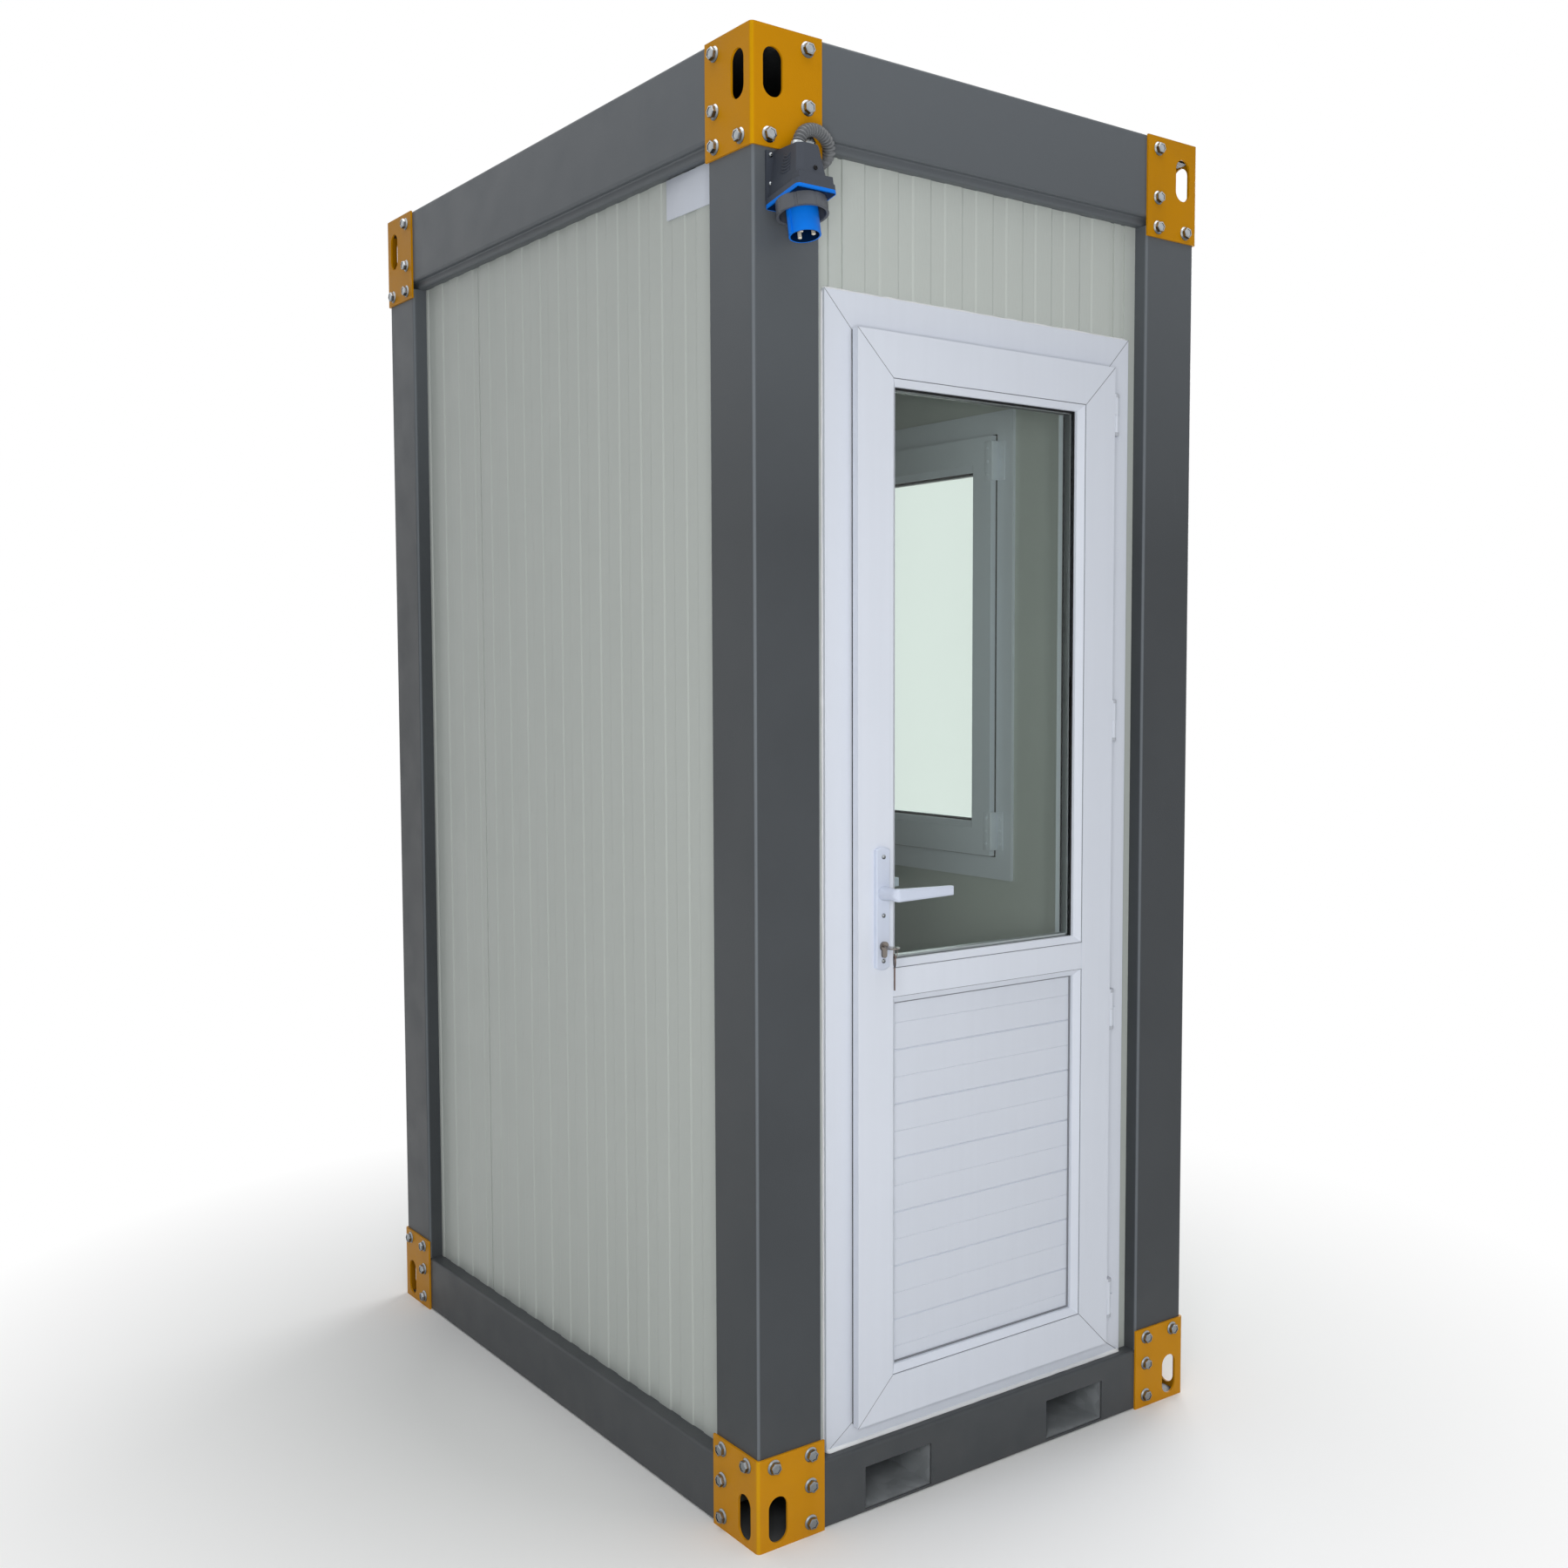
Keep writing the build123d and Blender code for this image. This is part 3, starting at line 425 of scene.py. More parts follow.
def plated(name, tone, roughness):
    """Plated metal with turning marks, painted shade where it looks down, and darker near the ground."""
    finish = Finish(name, Metallic=1.0)
    marks = finish.noise(140, 3)
    base = finish.mix(marks, shade(tone, 0.86), shade(tone, 1.1))
    # Painted shade: faces that look down darken, standing in for the shade and dark reflections under the metal.
    base = finish.mix(finish.spread(finish.facing()["Z"], 0.1, -0.5, 0, 0.85), base, shade(tone, 0.12))
    # Darker towards the ground.
    low_dark_from, low_dark_full = 0.4, 0.15
    low_darkening = finish.spread(finish.height(), low_dark_from, low_dark_full, 0, 0.55)
    base = finish.mix(low_darkening, base, shade(tone, 0.35))
    return finish.made(base, marks, roughness - 0.05, roughness + 0.06, finish.noise(700, 2), 0.0001)


def boards(name, tone):
    """Sealed floor board with a long grain."""
    finish = Finish(name)
    grain = finish.noise(34, 6, (1, 0.06, 1))
    return finish.made(finish.cloud(grain, tone, 0.7, 1.2), grain, 0.42, 0.56, grain, 0.0004)


def clear_glass(name):
    """Thin clear pane: what is behind it shows, under a reflection that grows towards the edge of view."""
    finish = Finish(name)
    clear = finish.node("BsdfTransparent", {"Color": (0.96, 0.977, 0.968, 1)})["BSDF"]
    gloss = finish.node("BsdfGlossy", {"Color": (1, 1, 1, 1), "Roughness": 0.015})["BSDF"]
    slant = finish.math("POWER", finish.node("LayerWeight", {"Blend": 0.5})["Facing"], 5)
    smears = finish.spread(finish.noise(4, 5), 0.35, 0.75, 1, 1.15)
    mirror = finish.math("MULTIPLY", finish.spread(slant, 0, 1, 0.010, 1), smears)
    finish.show(finish.node("MixShader", {0: mirror, 1: clear, 2: gloss})["Shader"])
    finish.tree.nodes.remove(finish.shader)
    return finish.material


FINISHES = {}
OWN_FINISH = {"roof_panel": "roof_sheet", "handle_plates": "handle_white", "door_lever": "handle_white"}


def make_finishes(tones):
    """Make every finish once, named after its material slot where it has one."""
    recipes = {
        # Paints take their tone, roughness, dust, gloss, painted bend highlight and painted top highlight.
        "frame_grey": (painted_steel, tones.frame_paint, 0.36, 0.1, 0.18, 0.7, 0.8),
        "plate_yellow": (painted_steel, tones.plate_paint, 0.38, 0.04, 0.1, 0.12, 0),
        "panel_white": (panel_coat, tones.panel_coat),
        # The roof panel's sheet is dark on all but its top: painted shade.
        "roof_sheet": (panel_coat, tones.panel_coat, shade(tones.frame_paint, 0.4)),
        "white_profile": (smooth_plastic, tones.profile, 0.36),
        "white_board": (smooth_plastic, shade(tones.profile, 0.95), 0.38),
        "white_metal": (smooth_plastic, shade(tones.profile, 1.04), 0.34, 0.4, 420, 0.0002),
        "handle_white": (smooth_plastic, tones.enamel, 0.34, 0.4, 420, 0.0002),
        "clear_glass": (clear_glass,),
        "lock_steel": (plated, tones.nickel, 0.2),
        "zinc_steel": (galvanised, shade(tones.zinc, 0.8)),
        "bolt_zinc": (plated, shade(tones.zinc, 0.92), 0.2),
        "screw_steel": (plated, shade(tones.zinc, 0.75), 0.2),
        "floor_board": (boards, tones.floor_board),
        "inlet_grey": (smooth_plastic, tones.inlet_body, 0.42, 0.25, 900, 0.0003),
        "inlet_blue": (smooth_plastic, tones.inlet_blue, 0.34, 0.12),
        # Painted shade: a nearly black blue for the shaded underside of the flange and the inside of the sleeve.
        "inlet_navy": (smooth_plastic, shade(tones.inlet_blue, 0.06), 0.5, 0.1),
        "collar_grey": (smooth_plastic, tones.collar, 0.4, 0.3, 900, 0.0003),
        "conduit_grey": (smooth_plastic, tones.conduit, 0.34),
        "seal_rubber": (smooth_plastic, tones.rubber, 0.55, 0.15, 300, 0.0003),
        "sealant": (smooth_plastic, tones.sealant, 0.45, 0.4, 90, 0.0008),
        "weld_grey": (smooth_plastic, shade(tones.profile, 0.3), 0.5),
        "hinge_cap": (smooth_plastic, shade(tones.profile, 0.68), 0.36),
        "contact_metal": (galvanised, tones.contact),
        "spacer_metal": (plated, shade(tones.zinc, 0.9), 0.4),
        "key_brass": (plated, tones.brass, 0.36),
        "plate_white": (smooth_plastic, tones.wall_plate, 0.36),
    }
    for name, (make, *values) in recipes.items():
        FINISHES[name] = make(name, *values)


# Modelling helpers

def leave():
    """Stop shaping the active piece."""
    bpy.ops.object.mode_set(mode="OBJECT")


def clear_selection():
    """Leave nothing selected, so that the next step acts on its own piece alone."""
    if bpy.context.object and bpy.context.object.mode != "OBJECT":
        leave()
    bpy.ops.object.select_all(action="DESELECT")


def edit():
    """Start to shape the active piece by its faces."""
    bpy.ops.object.mode_set(mode="EDIT")
    bpy.ops.mesh.select_mode(type="FACE")


def pick(test):
    """Select only the faces whose centre and normal pass a test."""
    bpy.ops.mesh.select_all(action="DESELECT")
    leave()
    for face in bpy.context.object.data.polygons:
        face.select = test(face.center, face.normal)
    bpy.ops.object.mode_set(mode="EDIT")


def edit_top():
    """Start to shape the active piece by the faces that look up."""
    edit()
    pick(lambda centre, normal: normal.z > SQUARELY)


def raise_faces(height, inset=0.0):
    """Inset the selected faces and lift them."""
    if inset:
        bpy.ops.mesh.inset(thickness=inset, depth=0)
    bpy.ops.transform.translate(value=(0, 0, height))


def pull_faces(height):
    """Draw the selected faces or edges up to new ones."""
    bpy.ops.mesh.extrude_region_move(TRANSFORM_OT_translate={"value": (0, 0, height)})


def apply_modifier(kind, **settings):
    """Add a modifier to the active piece and apply it."""
    modifier = bpy.context.object.modifiers.new(kind, kind)
    for key, value in settings.items():
        setattr(modifier, key, value)
    bpy.ops.object.modifier_apply(modifier=modifier.name)


def apply_place():
    """Put the place and size of the active piece into its mesh."""
    bpy.ops.object.transform_apply(location=True, rotation=True, scale=True)


def place_copies(model, places, keep=False):
    """One piece made of a copy of the model at each place, in place of the model unless it is kept."""
    clear_selection()
    for place in places:
        copy = model.copy()
        copy.data = model.data.copy()
        copy.data.transform(place)
        bpy.context.collection.objects.link(copy)
        copy.select_set(True)
    bpy.context.view_layer.objects.active = copy
    if len(places) > 1:
        bpy.ops.object.join()
    if not keep:
        bpy.data.objects.remove(model)


def join(*pieces):
    """One piece made of several."""
    clear_selection()
    for piece in pieces:
        piece.select_set(True)
    bpy.context.view_layer.objects.active = pieces[0]
    bpy.ops.object.join()
    return bpy.context.object


def drum(vertices, radius, height, low=0.0):
    """Round bar that stands on a level."""
    clear_selection()
    bpy.ops.mesh.primitive_cylinder_add(
        vertices=vertices, radius=radius, depth=height, location=(0, 0, low + height / 2))
    apply_place()
    return bpy.context.object


def block(low, high, easing):
    """Box between two corners, with its edges eased."""
    clear_selection()
    low, high = Vector(low), Vector(high)
    bpy.ops.mesh.primitive_cube_add(size=1, location=(low + high) / 2)
    bpy.context.object.scale = high - low
    apply_place()
    apply_modifier("BEVEL", width=easing, segments=2)
    return bpy.context.object


def flat_frame(low, high, width, thickness, easing):
    """Rectangular frame that lies on the ground plane, between two outer corners."""
    clear_selection()
    low, high = Vector((*low, 0)), Vector((*high, 0))
    bpy.ops.mesh.primitive_plane_add(size=1, location=(low + high) / 2)
    bpy.context.object.scale = (high.x - low.x, high.y - low.y, 1)
    apply_place()
    edit()
    bpy.ops.mesh.select_all(action="SELECT")
    bpy.ops.mesh.inset(thickness=width, depth=0)
    bpy.ops.mesh.delete(type="FACE")
    leave()
    apply_modifier("SOLIDIFY", thickness=thickness, offset=1)
    apply_modifier("BEVEL", width=easing, segments=2)
    return bpy.context.object


def round_head(radius, height):
    """Domed screw head with a dished middle, standing on the ground plane."""
    head = drum(16, radius, height / 2)
    edit_top()
    for rise_share, inset_share in ((0.3, 0.2), (0.2, 0.3), (-0.45, 0.12)):
        raise_faces(height * rise_share, radius * inset_share)
    leave()
    return head


def settle(name, body, finish, smooth=35):
    """Finish the active piece: its place goes into its mesh, and it gets its finish and its body."""
    piece = bpy.context.object
    clear_selection()
    piece.select_set(True)
    bpy.context.view_layer.objects.active = piece
    apply_place()
    bpy.ops.object.shade_smooth_by_angle(angle=math.radians(smooth))
    piece.name = piece.data.name = name
    piece.data.materials.clear()
    piece.data.materials.append(FINISHES[finish])
    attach(piece, body)
    return piece


# Operators

class CABIN_OT_finishes(bpy.types.Operator):
    """Paint the frame's own pieces"""

    bl_idname = "cabin.finishes"
    bl_label = "Finishes"

    def execute(self, context):
        make_finishes(context.scene.cabin_colours)
        slots = {part["node"]: part["material_slot"] for part in frame["record"]["subparts"]}
        for name, node in frame["nodes"].items():
            node.data.materials.clear()
            node.data.materials.append(FINISHES[OWN_FINISH.get(name, slots[name])])
        return {"FINISHED"}


class CABIN_OT_corner_bolts(bpy.types.Operator):
    """Bolt the corner plates to the posts and beams, and set a dark foot behind each lower one as painted shade in
    the corner
    """

    bl_idname = "cabin.corner_bolts"
    bl_label = "Corner bolts"

    FIRST_SPIN, NEXT_SPIN, SIDE_SPIN = 25, 37, 11

    def bolt(self, sizes):
        """Hexagon head on a domed flange, about the flange's middle."""
        clear_selection()
        bpy.ops.mesh.primitive_cylinder_add(
            vertices=20, radius=sizes.flange_radius, depth=sizes.flange_height,
            location=(0, 0, sizes.flange_height / 2))
        edit_top()
        raise_faces(sizes.dome_height, sizes.flange_radius - sizes.head_radius)
        bpy.ops.mesh.select_all(action="DESELECT")
        rise = sizes.head_height - sizes.flange_height
        bpy.ops.mesh.primitive_cylinder_add(
            vertices=6, radius=sizes.head_radius, depth=rise, location=(0, 0, sizes.head_height / 2))
        below_top = sizes.head_height / 2 + rise / 2 - sizes.flange_height / 2 - sizes.dome_height

        def on_top(centre, normal):
            """True for the upper face of the head."""
            return normal.z > SQUARELY and centre.z > below_top

        pick(on_top)
        bpy.ops.mesh.bevel(offset=sizes.head_radius / 7, segments=2, affect="EDGES")
        pick(on_top)
        raise_faces(-sizes.head_height / 16, sizes.head_radius / 4)
        leave()
        return bpy.context.object

    def bend(self, level, corner):
        """Place on the ground below the bend of a corner plate, and the height of the plate's top."""
        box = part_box(f"corner_plate_{level}_{corner}")
        to_x, to_y = CORNERS[corner]
        return Vector((box[to_x > 0].x, box[to_y > 0].y, 0)), box[1].z

    def foot(self, sizes, corner):
        """Flat dark plate inside a lower corner: painted shade for what the slots show there."""
        to_x, to_y = CORNERS[corner]
        inward = Vector((-to_x, -to_y, 0))
        near = self.bend("base", corner)[0] + inward * sizes.foot_gap
        far = near + inward * sizes.foot_reach
        low_x, high_x = sorted((near.x, far.x))
        low_y, high_y = sorted((near.y, far.y))
        top = sizes.foot_level + sizes.foot_thickness
        return block((low_x, low_y, sizes.foot_level), (high_x, high_y, top), sizes.foot_thickness / 4)

    def execute(self, context):
        sizes = context.scene.cabin_bolts
        model = self.bolt(sizes)
        for level in ("top", "base"):
            for corner, (to_x, to_y) in CORNERS.items():
                bend, top = self.bend(level, corner)
                heights = [top - depth for depth in sizes.top_levels] if level == "top" else sizes.base_levels
                spots = [(sizes.column, height) for height in heights] + [(sizes.inner, heights[2])]
                places = []
                for number, (along, height) in enumerate(spots):
                    for leg, outward in ((Vector((-to_x, 0, 0)), Vector((0, to_y, 0))),
                                         (Vector((0, -to_y, 0)), Vector((to_x, 0, 0)))):
                        degrees = self.FIRST_SPIN + self.NEXT_SPIN * number + self.SIDE_SPIN * outward.x
                        spot = move(bend + leg * along + UP * height)
                        places.append(spot @ aim(outward) @ rotate(degrees, "Z"))
                place_copies(model, places, keep=True)
                settle(f"bolts_{level}_{corner}", "cabin", "bolt_zinc", 30)
        bpy.data.objects.remove(model)

        # Painted shade: the feet darken the view through the lower slots, where the corners lie in shade.
        join(*[self.foot(sizes, corner) for corner in CORNERS])
        settle("corner_shade_feet", "cabin", "frame_grey")
        return {"FINISHED"}


class CABIN_OT_glazing(bpy.types.Operator):
    """Fit the panes, spacers, seals and gasket of the door and the window"""

    bl_idname = "cabin.glazing"
    bl_label = "Glazing"

    def flat_box(self, node, turn):
        """Lowest and highest corner of a node that is laid flat."""
        corners = [turn.inverted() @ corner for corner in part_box(node)]
        return Vector([min(part) for part in zip(*corners)]), Vector([max(part) for part in zip(*corners)])

    def edging(self, node, turn, inset, width, thickness, easing, sunk=0.0):
        """Flat frame inside the outline of a node, whose lower side may be sunk further down."""
        low, high = self.flat_box(node, turn)
        edge = Vector((inset, inset))
        return flat_frame(low.xy + edge - Vector((0, sunk)), high.xy - edge, width, thickness, easing)

    def seals(self, sizes, name, body, node, turn, finish="seal_rubber", sunk=0.0):
        """Seal round each face of a filling, whose lower side may be sunk into the sash."""
        low, high = self.flat_box(node, turn)
        thickness = sizes.seal_height
        seal = self.edging(node, turn, sizes.rebate, sizes.seal_width, thickness, thickness / 3, sunk)
        place_copies(seal, [turn @ move((0, 0, face)) for face in (high.z, low.z - thickness)])
        settle(name, body, finish)

    def unit(self, sizes, name, body, node, turn):
        """Sealed unit of two panes and a spacer in place of a node."""
        low, high = self.flat_box(node, turn)
        pane = block((low.x, low.y, 0), (high.x, high.y, sizes.pane), sizes.pane / 10)
        place_copies(pane, [turn @ move((0, 0, depth)) for depth in (low.z, high.z - sizes.pane)])
        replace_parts(settle(f"{name}_panes", body, "clear_glass"), node)

        gap = high.z - low.z - 2 * sizes.pane
        bar = sizes.spacer_height - sizes.spacer_margin
        spacer = self.edging(node, turn, sizes.spacer_margin, bar, gap, sizes.pane / 8)
        spacer.data.transform(turn @ move((0, 0, low.z + sizes.pane)))
        settle(f"{name}_spacer", body, "spacer_metal")

    def execute(self, context):
        sizes = context.scene.cabin_glazing
        self.unit(sizes, "door", "door", "door_glass", TO_FRONT)
        self.unit(sizes, "window", "cabin", "window_glass", TO_RIGHT)
        self.seals(sizes, "door_seals", "door", "door_glass", TO_FRONT, sunk=sizes.seal_width)
        self.seals(sizes, "window_seals", "cabin", "window_glass", TO_RIGHT)
        self.seals(sizes, "board_seals", "door", "door_boards", TO_FRONT, "weld_grey")

        step = self.flat_box("door_sash", TO_FRONT)[1].z - sizes.bead_joint_depth
        joints = []
        for node in ("door_glass", "door_boards"):
            thickness = sizes.weld_height
            joint = self.edging(
                node, TO_FRONT, -sizes.bead_joint_reach, sizes.weld_width, thickness, thickness / 4)
            joint.data.transform(TO_FRONT @ move((0, 0, step)))
            joints.append(joint)
        join(*joints)
        settle("bead_joints", "door", "weld_grey")

        inset = sizes.gasket_inset
        gasket = self.edging(
            "door_sash", TO_FRONT, inset, sizes.gasket_width, sizes.gasket_height, inset / 3)
        gasket.data.transform(TO_FRONT @ move((0, 0, -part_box("door_frame")[0].y)))
        settle("door_gasket", "cabin", "seal_rubber")
        return {"FINISHED"}


class CABIN_OT_welds(bpy.types.Operator):
    """Fill the welded mitres of the door and its frame"""

    bl_idname = "cabin.welds"
    bl_label = "Welds"

    def mitre(self, sizes, node, inset, side, end):
        """Place of a weld from a node's corner to the sash's corner, moved inwards by an inset."""
        box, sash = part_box(node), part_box("door_sash")
        to_right, to_top = 1 - 2 * side, 1 - 2 * end
        start = Vector((box[side].x, box[0].y + sizes.weld_depth, box[end].z))
        run = Vector((sash[side].x + to_right * inset, start.y, sash[end].z + to_top * inset)) - start
        slope = math.degrees(math.atan2(run.z, run.x))
        return move(start) @ TO_FRONT @ rotate(slope, "Z") @ Matrix.Scale(run.length, 4, (1, 0, 0))

    def execute(self, context):
        sizes = context.scene.cabin_glazing
        half = sizes.weld_width / 2
        strip = block((0, -half, 0), (1, half, sizes.weld_height), sizes.weld_height / 4)
        for name, body, node, inset in (("frame_welds", "cabin", "door_frame", sizes.sash_overlap),
                                        ("sash_welds", "door", "door_sash", sizes.sash_face)):
            places = [self.mitre(sizes, node, inset, side, end) for side in (0, 1) for end in (0, 1)]
            place_copies(strip, places, keep=True)
            settle(name, body, "weld_grey")
        bpy.data.objects.remove(strip)
        return {"FINISHED"}


class CABIN_OT_sealant(bpy.types.Operator):
    """Run sealant along the edges of the door frame"""

    bl_idname = "cabin.sealant"
    bl_label = "Sealant"

    BOTTOM_SHARE, TOP_SHARE, SIDE_SHARE = 1.3, 1.1, 0.6

    def bead(self, sizes, start, end, thickness, seed):
        """Uneven bead between two points."""
        clear_selection()
        run = end - start
        bpy.ops.mesh.primitive_cylinder_add(vertices=8, radius=thickness, depth=run.length)
        edit()
        bpy.ops.mesh.select_mode(type="EDGE")
        bpy.ops.mesh.select_all(action="DESELECT")
        leave()
        bead = bpy.context.object
        for edge in bead.data.edges:
            first, second = (bead.data.vertices[index].co for index in edge.vertices)
            edge.select = abs(first.z - second.z) > run.length / 2
        bpy.ops.object.mode_set(mode="EDIT")
        bpy.ops.mesh.subdivide(number_cuts=int(run.length / sizes.bead_step))
        bpy.ops.mesh.select_all(action="SELECT")
        bpy.ops.transform.vertex_random(offset=sizes.bead_wobble, seed=seed)
        leave()
        apply_modifier("SUBSURF", levels=1, render_levels=1)
        bead.data.transform(move((start + end) / 2) @ aim(run))

    def execute(self, context):
        sizes = context.scene.cabin_glazing
        low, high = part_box("door_frame")
        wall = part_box("wall_over_door")[0].y
        runs = {
            "sealant_bottom": ((low.x, low.y, low.z), (high.x, low.y, low.z), self.BOTTOM_SHARE),
            "sealant_top": ((low.x, wall, high.z), (high.x, wall, high.z), self.TOP_SHARE),
            "sealant_left": ((low.x, wall, low.z), (low.x, wall, high.z), self.SIDE_SHARE),
            "sealant_right": ((high.x, wall, low.z), (high.x, wall, high.z), self.SIDE_SHARE),
        }
        for seed, (name, (start, end, share)) in enumerate(runs.items()):
            self.bead(sizes, Vector(start), Vector(end), sizes.bead_radius * share, seed)
            settle(name, "cabin", "sealant", smooth=80)
        return {"FINISHED"}


class CABIN_OT_door_fittings(bpy.types.Operator):
    """Fit the handle's screws and the hinges' caps"""

    bl_idname = "cabin.door_fittings"
    bl_label = "Door fittings"

    def execute(self, context):
        sizes = context.scene.cabin_fittings
        low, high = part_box("handle_plates")
        middle = (low.x + high.x) / 2
        heights = [high.z - share * (high.z - low.z) for share in sizes.plate_screws]
        screw = round_head(sizes.screw_radius, sizes.screw_height)
        place_copies(screw, [move((middle, low.y, height)) @ TO_FRONT for height in heights])
        settle("handle_screws", "door", "screw_steel", 50)

        radius, height = sizes.hinge_cap_radius, sizes.hinge_cap_height
        cap = drum(20, radius, height)
        edit_top()
        raise_faces(height / 5, radius / 5)
        leave()
        axis = Vector(next(joint for joint in frame["joints"] if joint["name"] == "door_swing")["pos_m"])
        low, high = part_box("door_sash")
        end = UP * (sizes.hinge_height / 2 - height)
        middles = [axis.xy.to_3d() + UP * (low.z + share * (high.z - low.z)) for share in sizes.hinge_shares]
        place_copies(cap, [move(middle + end) for middle in middles], keep=True)
        settle("hinge_caps_door", "door", "hinge_cap")
        place_copies(cap, [move(middle - end) @ rotate(180, "X") for middle in middles])
        settle("hinge_caps_frame", "cabin", "hinge_cap")
        return {"FINISHED"}


class CABIN_OT_keys(bpy.types.Operator):
    """Put a key in the lock and hang its twin from the ring"""

    bl_idname = "cabin.keys"
    bl_label = "Keys"

    TIP_SHARE, HIDDEN_SHARE = 0.45, 0.93
    BOW_SHARE, BOW_WALL_SHARE, HOLE_SHARE = 0.85, 0.68, 1.3
    RING_DEGREES, TWIN_DEGREES = 35, -30
    LIFTED_SHARE = 0.7

    def key(self, sizes):
        """Key that lies on the ground plane along X, with the tip of its blade at the origin."""
        half = sizes.key_blade_width / 2
        start = sizes.key_blade + sizes.key_collar
        blade = block((0, -half, 0), (start, half, sizes.key_thickness), sizes.key_easing)
        edit()
        pick(lambda centre, normal: normal.x < -SQUARELY)
        bpy.ops.transform.resize(value=(1, self.TIP_SHARE, 1))
        leave()
        bow = drum(24, sizes.key_bow, sizes.key_thickness)
        bow.data.transform(move((start + sizes.key_bow * self.BOW_SHARE, 0, 0)))
        edit()
        pick(lambda centre, normal: abs(normal.z) > SQUARELY)
        bpy.ops.mesh.inset(thickness=sizes.key_bow * self.BOW_WALL_SHARE, depth=0, use_individual=True)
        bpy.ops.transform.translate(value=(sizes.key_bow * (self.HOLE_SHARE - self.BOW_SHARE), 0, 0))
        bpy.ops.mesh.bridge_edge_loops()
        leave()
        apply_modifier("BEVEL", width=sizes.key_easing, segments=1)
        return join(bow, blade)

    def execute(self, context):
        sizes = context.scene.cabin_fittings
        low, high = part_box("lock_cylinder")
        slot_height = high.z - (high.x - low.x) / 2
        front = Vector(((low.x + high.x) / 2, low.y, slot_height))
        model = self.key(sizes)
        hidden = sizes.key_blade * self.HIDDEN_SHARE
        outward = move(front + Vector((0, hidden, -sizes.key_thickness / 2)))
        place_copies(model, [outward @ rotate(-90, "Z")], keep=True)
        settle("key_in_lock", "door", "lock_steel")
        reach = sizes.key_blade + sizes.key_collar + sizes.key_bow * self.HOLE_SHARE
        hole = front - Vector((0, reach - hidden, 0))

        clear_selection()
        bpy.ops.mesh.primitive_torus_add(
            major_segments=36, minor_segments=8, major_radius=sizes.ring_radius, minor_radius=sizes.ring_wire)
        ring = context.object
        edit()
        pick(lambda centre, normal: centre.x > sizes.ring_radius * self.LIFTED_SHARE)
        raise_faces(sizes.ring_wire)
        leave()
        middle = hole - UP * (sizes.ring_radius - 2 * sizes.ring_wire)
        ring.data.transform(move(middle) @ rotate(self.RING_DEGREES, "Z") @ TO_FRONT)
        settle("key_ring", "door", "lock_steel", 60)

        bottom = middle - UP * (sizes.ring_radius + reach - 2 * sizes.ring_wire)
        place_copies(model, [move(bottom) @ rotate(self.TWIN_DEGREES, "Z") @ rotate(-90, "Y")])
        settle("key_on_ring", "door", "key_brass")
        return {"FINISHED"}


class CABIN_OT_wall_plate(bpy.types.Operator):
    """Fix the bare plate to the left wall"""

    bl_idname = "cabin.wall_plate"
    bl_label = "Wall plate"

    def execute(self, context):
        sizes = context.scene.cabin_fittings
        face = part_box("wall_left")[0].x
        back, low = sizes.sign_low
        reach, height = sizes.sign_size
        thickness = sizes.sign_thickness
        block((face - thickness, back - reach, low), (face, back, low + height), thickness / 4)
        settle("wall_plate", "cabin", "plate_white")
        return {"FINISHED"}


class CABIN_OT_window_fittings(bpy.types.Operator):
    """Fit the hinges and the seal of the window on the room's side"""

    bl_idname = "cabin.window_fittings"
    bl_label = "Window fittings"

    def hinge(self, sizes, face, sash, edge):
        """Hinge about the ground plane: a leaf on the frame, one on the sash and a knuckle between them."""
        half, sheet = sizes.window_hinge_height / 2, sizes.window_hinge_sheet
        leaf, radius = sizes.window_hinge_leaf, sizes.window_hinge_knuckle
        reach = edge - 2 * radius
        on_frame = block((face - sheet, reach - leaf, -half), (face, reach, half), sheet / 4)
        on_sash = block((sash - sheet, edge, -half), (sash, edge + leaf, half), sheet / 4)
        web = block((sash, reach, -half), (face, reach + sheet, half), sheet / 4)
        knuckle = drum(16, radius, 2 * half, -half)
        apply_modifier("BEVEL", width=radius / 5, segments=2, limit_method="ANGLE")
        knuckle.data.transform(move((sash, edge - radius, 0)))
        return join(on_frame, on_sash, web, knuckle)

    def execute(self, context):
        sizes = context.scene.cabin_fittings
        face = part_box("window_frame")[0].x
        low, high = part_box("window_sash")
        levels = (low.z + sizes.window_hinge_inset, high.z - sizes.window_hinge_inset)
        hinge = self.hinge(sizes, face, low.x, low.y)
        place_copies(hinge, [move((0, 0, level)) for level in levels])
        settle("window_hinges", "cabin", "white_metal")

        middle, sheet = sizes.window_hinge_leaf / 2, sizes.window_hinge_sheet
        third = sizes.window_hinge_height / 3
        spots = ((face, low.y - 2 * sizes.window_hinge_knuckle - middle), (low.x, low.y + middle))
        places = [
            move((depth - sheet, along, level + rise)) @ TO_LEFT
            for level in levels for depth, along in spots for rise in (-third, 0, third)]
        place_copies(round_head(sizes.screw_radius, sizes.screw_height / 2), places)
        settle("window_hinge_screws", "cabin", "white_metal", 50)

        width = sizes.window_seal
        seal = flat_frame(
            (low.y - width, low.z - width), (high.y + width, high.z + width), 2 * width, width / 2, width / 8)
        seal.data.transform(move((face - width / 2, 0, 0)) @ TO_RIGHT)
        settle("window_sash_seal", "cabin", "seal_rubber")
        return {"FINISHED"}


